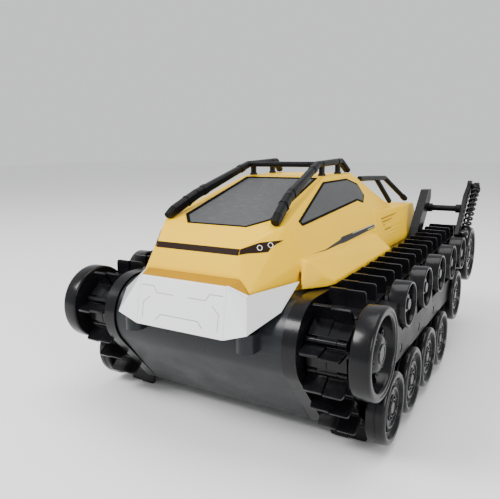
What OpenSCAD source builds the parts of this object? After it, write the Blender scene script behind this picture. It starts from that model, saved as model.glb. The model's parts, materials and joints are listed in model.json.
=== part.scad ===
// Remote-controlled tracked crawler: yellow cab shell on a tub chassis,
// two link tracks on wheels, and a strut tower over each rear corner.
// Front is -Y, up is +Z, the ground is z = 0, and X = 0 is the mirror plane.
// "left" is the vehicle's own left side, which is +X.

/* [Running gear] */
// Radius of the road wheel discs
road_wheel_r = 23.8; // [22.8:0.1:24.6]
// Gap between neighbouring wheel discs
wheel_gap = 0.8; // [0.5:0.1:3]
// Radius of the front drive wheel discs
drive_r = 28.4; // [27.4:0.1:29.4]
// Radius of the rear idler discs
idler_r = 28.2; // [24:0.1:32]
// Radius of the small return rollers
roller_r = 15.5; // [13:0.1:16.5]
// Width of every wheel disc
disc_w = 12.4; // [10:0.1:14]
// Radius of the fixed steel stub axles
stub_r = 2; // [1.5:0.1:2.6]
// Radius of the turning drive axles
drive_axle_r = 3; // [2.4:0.1:3.6]

/* [Track] */
// Inner edge of the left track, from the middle plane
track_in = 77.6; // [77.6:0.1:90]
// Width of a track link
track_w = 25.4; // [22:0.1:30]
// Height of a track lug above the link plate
lug_h = 11.5; // [8:0.1:13]
// Thickness of a link plate
link_t = 3; // [2.6:0.1:3.4]
// Wanted distance between link pins
pin_step = 19.9; // [17:0.1:24]
// Radius of the link pins
pin_r = 0.9; // [0.8:0.05:1.1]

/* [Body] */
// Half width of the cab where it meets the deck
cab_half_w = 60; // [56:0.5:66]
// Length of the cab shell
cab_len = 324; // [312:1:336]
// Height of the roof above the deck
cab_h = 68.5; // [58:0.5:84]
// Wall of the cab shell
shell_t = 2.6; // [2:0.1:3]
// Thickness of the window and lamp panels
glass_t = 1; // [0.8:0.1:1.4]
// Wall of the chassis tub
tub_t = 2.4; // [2:0.1:3.2]
// Half width of the chassis tub
tub_half_w = 66; // [64:0.5:70]

/* [Inside] */
// Teeth on each drive gear
gear_teeth = 48; // [44:4:52]
// Teeth on each motor pinion
pinion_teeth = 12; // [12:1:13]
// Tooth module of the gear pair
gear_module = 0.8; // [0.7:0.05:0.85]
// Width of the gears
gear_w = 5; // [4:0.5:6]
// Length of a motor can
motor_len = 31; // [26:1:34]
// Radius of a motor can
motor_r = 11; // [9:0.5:12]
// Length, width and height of the battery pack
battery_size = [76, 38, 20]; // [60:1:90]

/* [Clearances] */
// Radial clearance of a running fit
run_fit = 0.05; // [0.02:0.01:0.1]
// Gap left between a moving piece and its neighbour
move_gap = 0.3; // [0.3:0.05:0.8]
// Gap around an inlaid panel
inlay_gap = 0.15; // [0.1:0.05:0.3]

/* [Hidden] */
$fn = 64;
SIDES = ["left", "right"];
WHEELS = 5;

// ---------- places of the running gear, as [y, z] ----------
lug_tip = lug_h + link_t / 2;
road_pin_r = road_wheel_r - 8.6;
big_pin_r = 18.6;
road_z = road_pin_r + lug_tip;
wheel_pitch = 2 * road_wheel_r + wheel_gap;
road_y = -122.75;
drive_dir = 120.5;
drive_at = [road_y, road_z] + (drive_r + road_wheel_r + wheel_gap) * [cos(drive_dir), sin(drive_dir)];
last_road_at = [road_y + 3 * wheel_pitch, road_z];
raised_at = last_road_at + (2 * road_wheel_r + 18) * [cos(21), sin(21)];
idler_at = raised_at + (idler_r + road_wheel_r + 23.9) * [cos(21.3), sin(21.3)];
roller_pitch = 49.2;
roller_rise = 15;
function road_at(i) = i < WHEELS ? [road_y + (i - 1) * wheel_pitch, road_z] : raised_at;
top_slope = (idler_at[1] - drive_at[1]) / (idler_at[0] - drive_at[0]);
function top_pin_z(y) = drive_at[1] + big_pin_r + (y - drive_at[0]) * top_slope;
function roller_at(i) =
    [drive_at[0] + drive_r + roller_r + 13.6 + (i - 1) * roller_pitch, drive_at[1] + roller_rise];

// ---------- layers across the vehicle, as X on the left side ----------
frame_in = tub_half_w + 0.6;
frame_out = track_in - 1.6;
track_out = track_in + track_w;
outer_in = track_out + 0.9;
disc_in = track_out + 4.4;
disc_out = disc_in + disc_w;
outer_out = disc_in - 0.6;

// ---------- a closed loop round circles, as a belt runs ----------
// each circle is [y, z, r]; the loop runs down the front, back along the ground and home over the top
function belt_circles(big, road) = [
    [drive_at[0], drive_at[1], big], [road_y, road_z, road],
    [last_road_at[0], last_road_at[1], road], [idler_at[0], idler_at[1], big]];
function wrap(i, n) = (i + n) % n;
// outward normal of the straight run from circle a to circle b, which keeps the loop on its left
function run_normal(a, b) =
    let (d = [b[0] - a[0], b[1] - a[1]], l = norm(d), dir = atan2(d[1], d[0]), tilt = asin((a[2] - b[2]) / l))
    dir - 90 + tilt;
function on_circle(c, ang) = [c[0] + c[2] * cos(ang), c[1] + c[2] * sin(ang)];
function loop_normals(cs) = [for (i = [0:len(cs) - 1]) run_normal(cs[i], cs[wrap(i + 1, len(cs))])];
function arc_span(a, b) = let (d = b - a) d - 360 * floor(d / 360);
// lengths of the pieces: arc on circle i, then the run that leaves it
function loop_lengths(cs) =
    let (n = len(cs), nm = loop_normals(cs))
    [for (i = [0:n - 1], k = [0, 1])
        k == 0 ? cs[i][2] * arc_span(nm[wrap(i - 1, n)], nm[i]) * PI / 180
               : norm(on_circle(cs[wrap(i + 1, n)], nm[i]) - on_circle(cs[i], nm[i]))];
function total(v, i = 0) = i >= len(v) ? 0 : v[i] + total(v, i + 1);
// point at length s along the loop
function loop_point(cs, nm, len_list, s, j = 0) =
    s <= len_list[j] || j == len(len_list) - 1
    ? (let (i = floor(j / 2), c = cs[i])
        j % 2 == 0
        ? on_circle(c, nm[wrap(i - 1, len(cs))] + s / c[2] * 180 / PI)
        : on_circle(c, nm[i]) + s * [-sin(nm[i]), cos(nm[i])])
    : loop_point(cs, nm, len_list, s - len_list[j], j + 1);

pin_loop = belt_circles(big_pin_r, road_pin_r);
pin_normals = loop_normals(pin_loop);
pin_lengths = loop_lengths(pin_loop);
loop_len = total(pin_lengths);
function pin_point(s) = loop_point(pin_loop, pin_normals, pin_lengths, s - loop_len * floor(s / loop_len));
// next place along the loop whose straight distance from s is one chord
function next_s(s, chord, try, left = 6) =
    left == 0 ? try : next_s(s, chord, try + chord - norm(pin_point(try) - pin_point(s)), left - 1);
function walk(n, chord, s = 0) = n == 0 ? s : walk(n - 1, chord, next_s(s, chord, s + chord));
link_count = round(loop_len / pin_step);
function closing_chord(chord, left = 8) =
    left == 0 ? chord : closing_chord(chord * loop_len / walk(link_count, chord), left - 1);
chord = closing_chord(loop_len / link_count);
function pin_stations(n, s = 0) = n == 0 ? [] : concat([s], pin_stations(n - 1, next_s(s, chord, s + chord)));
PINS = [for (s = pin_stations(link_count)) pin_point(s)];

// ---------- helpers ----------
eps = 0.01;
arc_step = 6;
// places a child made in the (y, z) plane and raised along X, from x0 outwards
module across(x0) { translate([x0, 0, 0]) rotate([90, 0, 90]) children(); }
module at_yz(p) { translate([0, p[0], p[1]]) children(); }
module both_sides() { children(); mirror([1, 0, 0]) children(); }
module on_side(side) {
    if (side == "left") children();
    if (side == "right") mirror([1, 0, 0]) children();
}
module disc(p, x0, x1, r) { at_yz(p) across(x0) cylinder(r = r, h = x1 - x0); }
module solid_of(points) {
    hull() polyhedron(points = points, faces = [for (i = [0:len(points) - 3]) [i, i + 1, i + 2]]);
}
function mirrored(points) = concat(points, [for (p = points) [-p[0], p[1], p[2]]]);
// flat panel: an outline in space and its copy moved by v
module slab(outline, v) {
    n = len(outline);
    polyhedron(
        points = concat(outline, [for (p = outline) p + v]),
        faces = concat([[for (i = [n - 1:-1:0]) i]], [[for (i = [0:n - 1]) n + i]],
                       [for (i = [0:n - 1]) [i, (i + 1) % n, n + (i + 1) % n, n + i]]));
}
// filled outline of a belt round circles, in the (y, z) plane
module loop_fill(cs) {
    nm = loop_normals(cs);
    n = len(cs);
    polygon([for (i = [0:n - 1])
        let (a = nm[wrap(i - 1, n)], span = arc_span(a, nm[i]), m = ceil(span / arc_step))
        for (k = [0:m]) on_circle(cs[i], a + span * k / m)]);
}

// ---------- wheels ----------
hub_r = road_pin_r * 0.61;
rim_t = 2.6;
// disc with a raised rim, a dished face and a raised hub; x is measured from its inner end
module dished_wheel(r, bore, hub_face_r, hub_in, hub_in_r) {
    rotate([0, 90, 0]) rotate_extrude($fn = 128) polygon([
        [bore, hub_in], [hub_in_r, hub_in], [hub_in_r, 0], [r - 1.2, 0], [r, 1.2],
        [r, disc_w - 1.6], [r - 1.6, disc_w], [r - rim_t - 1, disc_w], [r - rim_t - 1.6, disc_w - 4],
        [hub_face_r + 1, disc_w - 4], [hub_face_r, disc_w - 1.2], [bore + 3, disc_w - 1.2],
        [bore + 3, disc_w - 3.2], [bore, disc_w - 3.2]]);
}
hub_reach = disc_in - frame_out - move_gap;
module road_wheel(side, i) {
    color([0.10, 0.10, 0.11]) on_side(side) at_yz(road_at(i)) translate([disc_in, 0, 0])
        dished_wheel(road_wheel_r, stub_r + run_fit, road_wheel_r * 0.56, -hub_reach, hub_r);
}
module return_roller(side, i) {
    color([0.08, 0.08, 0.09]) on_side(side) at_yz(roller_at(i)) translate([disc_in, 0, 0]) difference() {
        rotate([0, 90, 0]) rotate_extrude($fn = 96) polygon([
            [stub_r + run_fit, 0], [roller_r, 0], [roller_r, disc_w - 1], [roller_r - 1, disc_w - 0.6],
            [roller_r - 1.6, disc_w - 0.6], [roller_r - 1.8, disc_w - 5], [roller_r * 0.36, disc_w - 5],
            [roller_r * 0.36, disc_w - 2.2], [stub_r + 1.9, disc_w - 2.2], [stub_r + 1.9, disc_w - 3.2],
            [stub_r + run_fit, disc_w - 3.2]]);
        for (k = [0:2]) rotate([k * 120 + 30, 0, 0])
            translate([disc_w - 8, -roller_r * 0.22, roller_r * 0.42]) cube([9, roller_r * 0.44, roller_r * 0.38]);
    }
}
cap_bore_r = drive_r * 0.60;
module drive_wheel(side) {
    color([0.09, 0.09, 0.10]) on_side(side) at_yz(drive_at) translate([disc_in, 0, 0])
        rotate([0, 90, 0]) rotate_extrude($fn = 128) polygon([
            [drive_axle_r + run_fit, -hub_reach], [big_pin_r * 0.72, -hub_reach], [big_pin_r * 0.72, 0],
            [drive_r - 1, 0], [drive_r, 1], [drive_r, disc_w - 2], [drive_r - 2, disc_w],
            [drive_r - 4.4, disc_w], [drive_r - 5.2, 3], [drive_axle_r + run_fit, 3]]);
}
// raised hub cap in the dish of the drive wheel, held by the axle
module hub_cap(side) {
    color([0.13, 0.13, 0.14]) on_side(side) at_yz(drive_at) translate([disc_in + 3, 0, 0])
        difference() {
            rotate([0, 90, 0]) rotate_extrude($fn = 96) polygon([
                [drive_axle_r + run_fit, 0], [cap_bore_r, 0], [cap_bore_r, 3], [cap_bore_r * 0.86, 7],
                [cap_bore_r * 0.5, 8], [cap_bore_r * 0.42, 6.4], [drive_axle_r + run_fit, 6.4]]);
            for (k = [0:5]) rotate([k * 60, 0, 0]) translate([4, 0, cap_bore_r * 0.68]) rotate([0, 90, 0])
                cylinder(r = 1.3, h = 6, $fn = 32);
        }
}
module idler_wheel(side) {
    color([0.10, 0.10, 0.11]) on_side(side) at_yz(idler_at) translate([disc_in, 0, 0])
        dished_wheel(idler_r, stub_r + run_fit, idler_r * 0.58, -hub_reach, big_pin_r * 0.72);
}
// fixed steel stubs from the side frame, each with a shoulder head that keeps its wheel on
module stub_axle(p, x_end) {
    disc(p, frame_in, x_end, stub_r);
    disc(p, x_end - 1.4, x_end, stub_r + 1.6);
}
module wheel_axles() {
    head_at = disc_in + disc_w - 3.2 + move_gap + 1.4;
    color([0.72, 0.73, 0.75]) both_sides() {
        for (i = [1:WHEELS]) stub_axle(road_at(i), head_at);
        for (i = [1:WHEELS]) stub_axle(roller_at(i), head_at);
        stub_axle(idler_at, head_at);
    }
}

// ---------- drive train ----------
gear_x = tub_half_w - tub_t - 1.6 - gear_w;
gear_r = gear_teeth * gear_module / 2;
pinion_pitch_r = pinion_teeth * gear_module / 2;
pinion_dir = -18;
motor_at = drive_at + (gear_r + pinion_pitch_r + 0.1) * [cos(pinion_dir), sin(pinion_dir)];
add_h = 0.8 * gear_module;
ded_h = 1.2 * gear_module;
// spur gear with a tooth, or for odd "phase" a gap, centred on angle dir
function gear_outline(teeth, dir) =
    let (r = teeth * gear_module / 2, p = 360 / teeth)
    [for (k = [0:teeth - 1], q = [[-0.34, -ded_h], [-0.14, add_h], [0.14, add_h], [0.34, -ded_h]])
        (r + q[1]) * [cos(dir + (k + q[0]) * p), sin(dir + (k + q[0]) * p)]];
module drive_gear(side) {
    color([0.85, 0.84, 0.78]) on_side(side) at_yz(drive_at) across(gear_x) difference() {
        union() {
            linear_extrude(gear_w) polygon(gear_outline(gear_teeth, pinion_dir));
            translate([0, 0, -2]) cylinder(r = drive_axle_r + 3, h = gear_w + 2);
        }
        translate([0, 0, -3]) cylinder(r = drive_axle_r + run_fit, h = gear_w + 5);
    }
}
motor_shaft_r = 1;
module motor_pinion(side) {
    gap_dir = pinion_dir + 180 + 180 / pinion_teeth;
    color([0.80, 0.66, 0.32]) on_side(side) at_yz(motor_at) across(gear_x - 0.5) difference() {
        linear_extrude(gear_w + 1) polygon(gear_outline(pinion_teeth, gap_dir));
        translate([0, 0, -1]) cylinder(r = motor_shaft_r + run_fit, h = gear_w + 3);
    }
}
module drive_axle(side) {
    color([0.70, 0.71, 0.73]) on_side(side) {
        disc(drive_at, gear_x - 2, disc_in + 3 + 6.4, drive_axle_r);
        disc(drive_at, disc_in + 3 + 6.4, disc_in + 3 + 7.6, drive_axle_r + 1.8);
    }
}
motor_x = gear_x - 2.5 - motor_len;
module drive_motors() {
    color([0.62, 0.63, 0.66]) both_sides() {
        disc(motor_at, motor_x, motor_x + motor_len, motor_r);
        disc(motor_at, motor_x + motor_len, motor_x + motor_len + 1.2, 3);
        disc(motor_at, motor_x + motor_len, gear_x + gear_w, motor_shaft_r);
        disc(motor_at, motor_x - 2, motor_x, 4);
    }
}

// ---------- track ----------
knuckle_r = 1.9;
side_band = 6;
mid_gap = 0.3;
lug_t = 2.4;
lug_stagger = 1.2;
plate_start = knuckle_r + 0.5;
// one half lug, drawn across the vehicle and raised from the plate
module lug_plate(w, h) {
    c = 1.4;
    polygon([[0, 0], [w, 0], [w, h - c], [w - c, h], [c, h], [0, h - c]]);
}
// a link in its own frame: pin at the origin, next pin at [chord, 0], outward is +y, across is +z
module link() {
    half = track_w / 2 - mid_gap;
    difference() {
        union() {
            translate([plate_start, -link_t / 2, 0]) cube([chord - 2 * plate_start, link_t, track_w]);
            for (z = [0, track_w - side_band]) translate([0, 0, z]) {
                cylinder(r = knuckle_r, h = side_band, $fn = 32);
                translate([0, -link_t / 2 + 0.4, 0]) cube([plate_start + 0.2, link_t - 0.8, side_band]);
            }
            translate([chord, 0, side_band + mid_gap])
                cylinder(r = knuckle_r, h = track_w - 2 * (side_band + mid_gap), $fn = 32);
            translate([chord - plate_start - 0.2, -link_t / 2 + 0.4, side_band + mid_gap])
                cube([plate_start + 0.2, link_t - 0.8, track_w - 2 * (side_band + mid_gap)]);
            for (h = [0, 1])
                translate([plate_start + lug_t + h * lug_stagger, link_t / 2 - eps,
                           h * (track_w - half)])
                    rotate([0, -90, 0]) linear_extrude(lug_t) lug_plate(half, lug_h + eps);
        }
        for (u = [0, chord]) translate([u, 0, -1]) cylinder(r = pin_r + run_fit, h = track_w + 2, $fn = 24);
    }
}
module track_links(side) {
    n = len(PINS);
    color([0.07, 0.07, 0.08]) on_side(side) across(track_in) for (i = [0:n - 1]) {
        a = PINS[i];
        b = PINS[(i + 1) % n];
        translate(a) rotate([0, 0, atan2(b[1] - a[1], b[0] - a[0])]) mirror([0, 1, 0]) link();
    }
}
module track_pins() {
    color([0.60, 0.61, 0.63]) both_sides() for (p = PINS) disc(p, track_in + 0.5, track_out - 0.5, pin_r);
}

// ---------- frames ----------
tub_big_r = drive_r - 1.4;
tub_road_r = road_pin_r + 4.4;
deck_z = drive_at[1] + tub_big_r;
tub_rear_r = deck_z - idler_at[1];
function frame_loop(big, road, rear) = [
    [drive_at[0], drive_at[1], big], [road_y, road_z, road],
    [last_road_at[0], last_road_at[1], road], [idler_at[0], idler_at[1], rear]];
post_r = 4;
POSTS = [for (i = [1:3]) [road_y + (i - 0.5) * wheel_pitch, road_z + road_wheel_r + 8]];
module side_frame(side) {
    color([0.06, 0.06, 0.07]) on_side(side) difference() {
        union() {
            across(frame_in) linear_extrude(frame_out - frame_in)
                loop_fill(frame_loop(drive_r, tub_road_r, tub_rear_r));
            for (p = POSTS) disc(p, frame_out - 1, outer_in, post_r);
        }
        for (i = [1:WHEELS]) disc(road_at(i), frame_in - 1, frame_out + 1, stub_r);
        for (i = [1:WHEELS]) disc(roller_at(i), frame_in - 1, frame_out + 1, stub_r);
        disc(idler_at, frame_in - 1, frame_out + 1, stub_r);
        disc(drive_at, frame_in - 1, frame_out + 1, drive_axle_r + run_fit);
        for (p = POSTS) disc(p, outer_in - 8, outer_in + 1, 1.2);
    }
}
// outer frame: a thin plate behind the discs that carries the axle ends, a beam over the road
// wheels with fingers up between the rollers, and a foot for the rear tower
beam_bottom = road_z + road_wheel_r + 0.8;
beam_top = roller_at(1)[1] - roller_r - 1.6;
beam_front = drive_at[0] + drive_r + 2;
finger_half = (roller_pitch - 2 * roller_r) / 2 - 2.4;
big_hub_r = big_pin_r * 0.72;
hub_pass = 0.8;
function tower(y, z) = [idler_at[0] + y, deck_z + z];
module plate_outline() {
    last = roller_at(WHEELS);
    difference() {
        union() {
            polygon([[beam_front - 4, beam_bottom + 2], [beam_front + 4, beam_bottom], [raised_at[0] - 20, beam_bottom],
                     raised_at, [idler_at[0] - 6, idler_at[1] - 16], [idler_at[0] - 4, idler_at[1] + 14],
                     [last[0] + 8, last[1] + 6], [roller_at(1)[0] - 8, last[1] + 6], [beam_front + 6, beam_top]]);
            translate(raised_at) circle(r = hub_r + 5);
            translate(idler_at) circle(r = big_hub_r + 4.5);
        }
        translate(raised_at) circle(r = hub_r + hub_pass);
        translate(idler_at) circle(r = big_hub_r + hub_pass);
    }
}
module beam_outline() {
    difference() {
        union() {
            polygon([[beam_front - 6, beam_bottom + 2], [beam_front + 4, beam_bottom], [raised_at[0], beam_bottom],
                     [raised_at[0], beam_top], [beam_front - 4, beam_top]]);
            for (i = [1:WHEELS - 1]) {
                mid = (roller_at(i) + roller_at(i + 1)) / 2;
                polygon([[mid[0] - finger_half - 4, beam_top - 1], [mid[0] + finger_half + 4, beam_top - 1],
                         [mid[0] + finger_half, mid[1]], [mid[0], mid[1] + 5], [mid[0] - finger_half, mid[1]]]);
            }
            polygon([tower(-36, -16), tower(-34, -1), tower(-24, -1), tower(-26, -16)]);
            // guard between the drive wheel and the first roller
            polygon([[drive_at[0] + drive_r * 0.94, beam_top - 4], [roller_at(1)[0] - 6, beam_top - 4],
                     [roller_at(1)[0] - 8, top_pin_z(roller_at(1)[0]) + 1],
                     [drive_at[0] + drive_r * 0.82, top_pin_z(drive_at[0])]]);
        }
        for (i = [1:WHEELS]) translate(roller_at(i)) circle(r = roller_r + 1.2);
        translate(raised_at) circle(r = road_wheel_r + 1);
        translate(drive_at) circle(r = drive_r + 1.4);
        translate(idler_at) circle(r = idler_r + 1);
    }
}
guard_out = disc_in + 8;
module outer_frame(side) {
    color([0.07, 0.07, 0.08]) on_side(side) difference() {
        union() {
            across(outer_in) linear_extrude(outer_out - outer_in) plate_outline();
            across(outer_in) linear_extrude(guard_out - outer_in) beam_outline();
        }
        for (i = [1:WHEELS]) disc(roller_at(i), outer_in - 1, outer_out + 1, stub_r);
        for (p = POSTS) disc(p, outer_in - 1, guard_out + 1, 1.5);
        for (p = POSTS) disc(p, guard_out - 2, guard_out + 1, 3);
    }
}

// ---------- chassis tub ----------
boss_at = [44.4, drive_at[0] - tub_big_r - 3.5];
boss_r = 6.4;
boss_h = 12;
boss_top = deck_z - 17;
boss_screw_r = 1.05;
free_fit = 0.06;
door_size = [54, 92, 2.4];
door_y = -62;
tub_bottom = road_z - tub_road_r;
door_z = tub_bottom - door_size[2] - 0.1;
switch_at = [0, road_y + 26];
screw_pts = [[54, -116], [54, 24], [54, 128]];
screw_r = 1.2;
module tub_fill(grow, half) {
    across(-half) linear_extrude(2 * half)
        loop_fill(frame_loop(tub_big_r + grow, tub_road_r + grow, tub_rear_r + grow));
}
floor_z = tub_bottom + tub_t;
flat_end = last_road_at[0] - 1;
battery_at = [-battery_size[1] / 2, door_y + (door_size[1] - battery_size[0]) / 2];
bay_gap = 0.4;
cradle_t = 2;
rail_gap = 0.3;
lip_t = 1.2;
bracket_w = 6;
bracket_x = motor_x + motor_len - bracket_w;
post_h = 14;
board_size = [60, 50, 1.6];
board_at = [-board_size[0] / 2, road_y + 2];
switch_stem = [4, 3.4];
switch_travel = 3.5;
module bay_block(grow, z, h) {
    translate([battery_at[0] - grow, battery_at[1] - grow, z])
        cube([battery_size[1] + 2 * grow, battery_size[0] + 2 * grow, h]);
}
module board_posts(r, z, h) {
    for (x = [4, board_size[0] - 4], y = [4, board_size[1] - 4])
        translate([board_at[0] + x, board_at[1] + y, z]) cylinder(r = r, h = h, $fn = 32);
}
module switch_box(gx, gy, z, h) {
    translate([switch_at[0] - switch_stem[0] / 2 - gx, switch_at[1] - switch_stem[1] / 2 - gy, z])
        cube([switch_stem[0] + switch_travel + 2 * gx, switch_stem[1] + 2 * gy, h]);
}
module chassis_tub() {
    color([0.17, 0.18, 0.20]) difference() {
        union() {
            difference() {
                tub_fill(0, tub_half_w);
                tub_fill(-tub_t, tub_half_w - tub_t);
                // mouth under the cab, inside a flange
                translate([-cab_half_w + 12, drive_at[0] + 16, deck_z - 8])
                    cube([2 * cab_half_w - 24, idler_at[0] - drive_at[0] - 34, 20]);
            }
            both_sides() {
                translate([boss_at[0], boss_at[1], boss_top - boss_h]) {
                    cylinder(r = boss_r, h = boss_h);
                    translate([-boss_r, 0, 0]) cube([2 * boss_r, 8, boss_h]);
                }
                disc(motor_at, bracket_x, bracket_x + bracket_w, motor_r + 2.5);
                translate([bracket_x, motor_at[0] - 4, floor_z - 1])
                    cube([bracket_w, 8, motor_at[1] - motor_r - floor_z]);
                // rail and lip that hold one edge of the battery door
                translate([door_size[0] / 2 + rail_gap, door_y, door_z - rail_gap - lip_t])
                    cube([2, flat_end - door_y, door_size[2] + 0.1 + rail_gap + lip_t + 1]);
                translate([door_size[0] / 2 - 1.6, door_y, door_z - rail_gap - lip_t])
                    cube([3, flat_end - door_y, lip_t]);
            }
            bay_block(bay_gap + cradle_t, floor_z - 1, 13);
            board_posts(2.4, floor_z - 1, post_h + 1);
            switch_box(2.4, 2.6, floor_z - 1, 4.4);
            // stop at the closed end of the door
            translate([-door_size[0] / 2, door_y - rail_gap - 2, door_z]) cube([door_size[0], 2, door_size[2] + 1]);
        }
        both_sides() {
            disc(drive_at, tub_half_w - tub_t - 1, tub_half_w + 1, drive_axle_r + run_fit);
            disc(motor_at, bracket_x - 1, bracket_x + bracket_w + 1, motor_r);
            translate([boss_at[0], boss_at[1], boss_top - boss_h - 1])
                cylinder(r = boss_screw_r + free_fit, h = boss_h + 2);
            for (p = screw_pts) translate([p[0], p[1], deck_z - tub_t - 1]) cylinder(r = 1.6, h = tub_t + 2, $fn = 32);
        }
        bay_block(bay_gap, tub_bottom - 1, 20);
        switch_box(0.5, move_gap, tub_bottom - 1, 6);
        switch_box(1, 1.5, floor_z, 2.2);
    }
}
// sliding door under the battery bay, in two side rails
module battery_door() {
    color([0.15, 0.16, 0.18]) difference() {
        translate([-door_size[0] / 2, door_y, door_z]) cube(door_size);
        for (k = [0:4]) translate([-14, door_y + 8 + k * 3, door_z - 0.5]) cube([28, 1.4, 1.2]);
    }
}
module power_switch() {
    corner = [switch_at[0] - switch_stem[0] / 2, switch_at[1] - switch_stem[1] / 2];
    color([0.85, 0.12, 0.10]) {
        translate([corner[0], corner[1], tub_bottom - 1.2]) cube([switch_stem[0], switch_stem[1], tub_t + 2]);
        translate([corner[0] - 0.4, corner[1] - 1.2, floor_z + 0.3])
            cube([switch_stem[0] + 0.8, switch_stem[1] + 2.4, 1.5]);
    }
}

// ---------- cab shell ----------
// cab point: x and z are given for a 60 wide, 68.5 high cab, y for a 324 long one
function cab(x, y, z) = [x * cab_half_w / 60, y * cab_len / 324, deck_z + z * cab_h / 68.5];
LIP_TOP = cab(32.5, -167.1, 30.6);
LIP_LOW = cab(31.9, -167.6, 27.2);
CHIN = cab(42.6, -173.8, 4.6);
BROW = cab(49, -137, 42.5);
function nose_points() = mirrored([
    LIP_TOP, LIP_LOW, cab(36.2, -173.5, 14.2), CHIN,
    cab(42.6, -169, 0), cab(60, -131, 0), cab(60, -131, 19.5), BROW,
    cab(25, -147.5, 39.7), cab(60, -100, 0), cab(60, -100, 19.5), cab(49, -100, 42.5)]);
function cabin_points() = mirrored([
    BROW, cab(25, -147.5, 39.7), cab(38.5, -133, 43.8), cab(36.5, -46, 68.5),
    cab(36.5, 14, 68.5), cab(60, -131, 0), cab(60, -131, 19.5), cab(54, 30, 33.5),
    cab(60, 30, 19.5), cab(60, 30, 0), cab(42, 116, 30), cab(46, 116, 0)]);
function tail_points() = mirrored([
    cab(55, 26, 34), cab(58, 150, 30.5), cab(61, 22, 18), cab(61, 146, 16),
    cab(66, 2, 4), cab(66, 142, 4), cab(66, 2, 0), cab(66, 140, 0), cab(60, 150, 0), cab(60, 150, 14)]);
function skirt_points() = [
    cab(58, -134, 20), cab(62.5, -134.5, 19.8), cab(76, -119, 5), cab(76, -119, 2.2), cab(62, -142, 2.2),
    cab(58, 8, 17), cab(62.5, 8, 17), cab(76, 8, 5.5), cab(76, 8, 2.2), cab(58, 8, 2.2)];
module cab_solid() {
    solid_of(nose_points());
    solid_of(cabin_points());
    solid_of(tail_points());
    both_sides() solid_of(skirt_points());
}
module cab_void() {
    sx = 1 - shell_t / cab_half_w;
    sy = 1 - shell_t / (cab_len / 2);
    sz = 1 - shell_t / cab_h;
    translate([0, 0, deck_z - eps]) scale([sx, sy, sz]) translate([0, 0, -deck_z]) cab_solid();
}
function unit(v) = v / norm(v);
function sum3(v, i = 0) = i >= len(v) ? [0, 0, 0] : v[i] + sum3(v, i + 1);
// outline in space moved out from its own middle by g
function grown(o, g) = let (m = sum3(o) / len(o)) [for (p = o) p + g * unit(p - m)];
function moved(o, v) = [for (p = o) p + v];
// windscreen plane, from the hood's rear edge to the roof
screen_rise = (68.5 - 39.7) / (147.5 - 46);
function screen_pt(x, y) = cab(x, y, 39.7 + (y + 147.5) * screen_rise);
screen_in = unit(cross(screen_pt(0, -46) - screen_pt(0, -147.5), [1, 0, 0]));
screen_outline = [screen_pt(-24, -145), screen_pt(24, -145), screen_pt(36, -131),
                  screen_pt(32.5, -50), screen_pt(-32.5, -50), screen_pt(-36, -131)];
// side glass plane, from the waist to the roof edge
function side_pt(y, z) = cab(60 - 23.5 * (z - 19.5) / 49, y, z);
side_outline = [side_pt(-119, 42.5), side_pt(-116, 39), side_pt(0, 45.5), side_pt(11, 42.5),
                side_pt(21, 48.5), side_pt(16, 59), side_pt(-4, 64.5), side_pt(-54, 64.5)];
side_in = -unit(cross(side_pt(0, 50) - side_pt(-60, 50), side_pt(0, 60) - side_pt(0, 50)));
module windshield() {
    color([0.25, 0.26, 0.28]) slab(screen_outline, glass_t * screen_in);
}
module side_windows() {
    color([0.25, 0.26, 0.28]) both_sides() slab(side_outline, glass_t * side_in);
}
// lamp panels, one across the nose face and one in each cheek
NOSE_FRONT = cab(36.2, -173.5, 14.2);
nose_out = unit(cross([1, 0, 0], LIP_TOP - NOSE_FRONT));
function nose_pt(x, z) =
    let (t = (LIP_TOP[2] - z) / (LIP_TOP[2] - NOSE_FRONT[2]), p = LIP_TOP + t * (NOSE_FRONT - LIP_TOP)) [x, p[1], z];
strip_top = LIP_TOP[2] - 0.3;
strip_low = LIP_LOW[2];
strip_x = LIP_LOW[0];
strip_outline = [nose_pt(-strip_x, strip_low), nose_pt(strip_x, strip_low),
                 nose_pt(strip_x, strip_top), nose_pt(-strip_x, strip_top)];
wing_out = unit(cross(CHIN - LIP_TOP, BROW - LIP_TOP));
function on_wing(p) = p - wing_out * ((p - LIP_TOP) * wing_out);
wing_outline = [on_wing(cab(33.4, -166.2, 30.2)), on_wing(cab(33.6, -167.6, 27.5)), on_wing(cab(42, -157.6, 27.3)),
                on_wing(cab(44.8, -153.4, 27.2)), on_wing(cab(45.6, -150.6, 29.9)), on_wing(cab(50, -142.4, 33.6)),
                on_wing(cab(40, -155.4, 33.2))];
led_pts = [on_wing(cab(40.7, -156.9, 30.1)), on_wing(cab(45, -150.7, 31.2))];
led_r = 1.5;
module light_strip() {
    color([0.16, 0.11, 0.08]) {
        slab(strip_outline, -glass_t * nose_out);
        both_sides() difference() {
            slab(wing_outline, -glass_t * wing_out);
            for (p = led_pts) to_wing(p) translate([0, 0, -2]) cylinder(r = led_r + 0.1, h = 4, $fn = 32);
        }
    }
}
// turns +z to the wing's outward direction
module to_wing(p) {
    translate(p) rotate([0, acos(wing_out[2]), atan2(wing_out[1], wing_out[0])]) children();
}
module headlight_leds() {
    color([0.95, 0.95, 0.90]) both_sides() for (p = led_pts) to_wing(p) {
        translate([0, 0, -5.2]) cylinder(r = led_r, h = 5);
        translate([0, 0, -6.2]) cylinder(r = led_r + 0.5, h = 1);
    }
}
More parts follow.
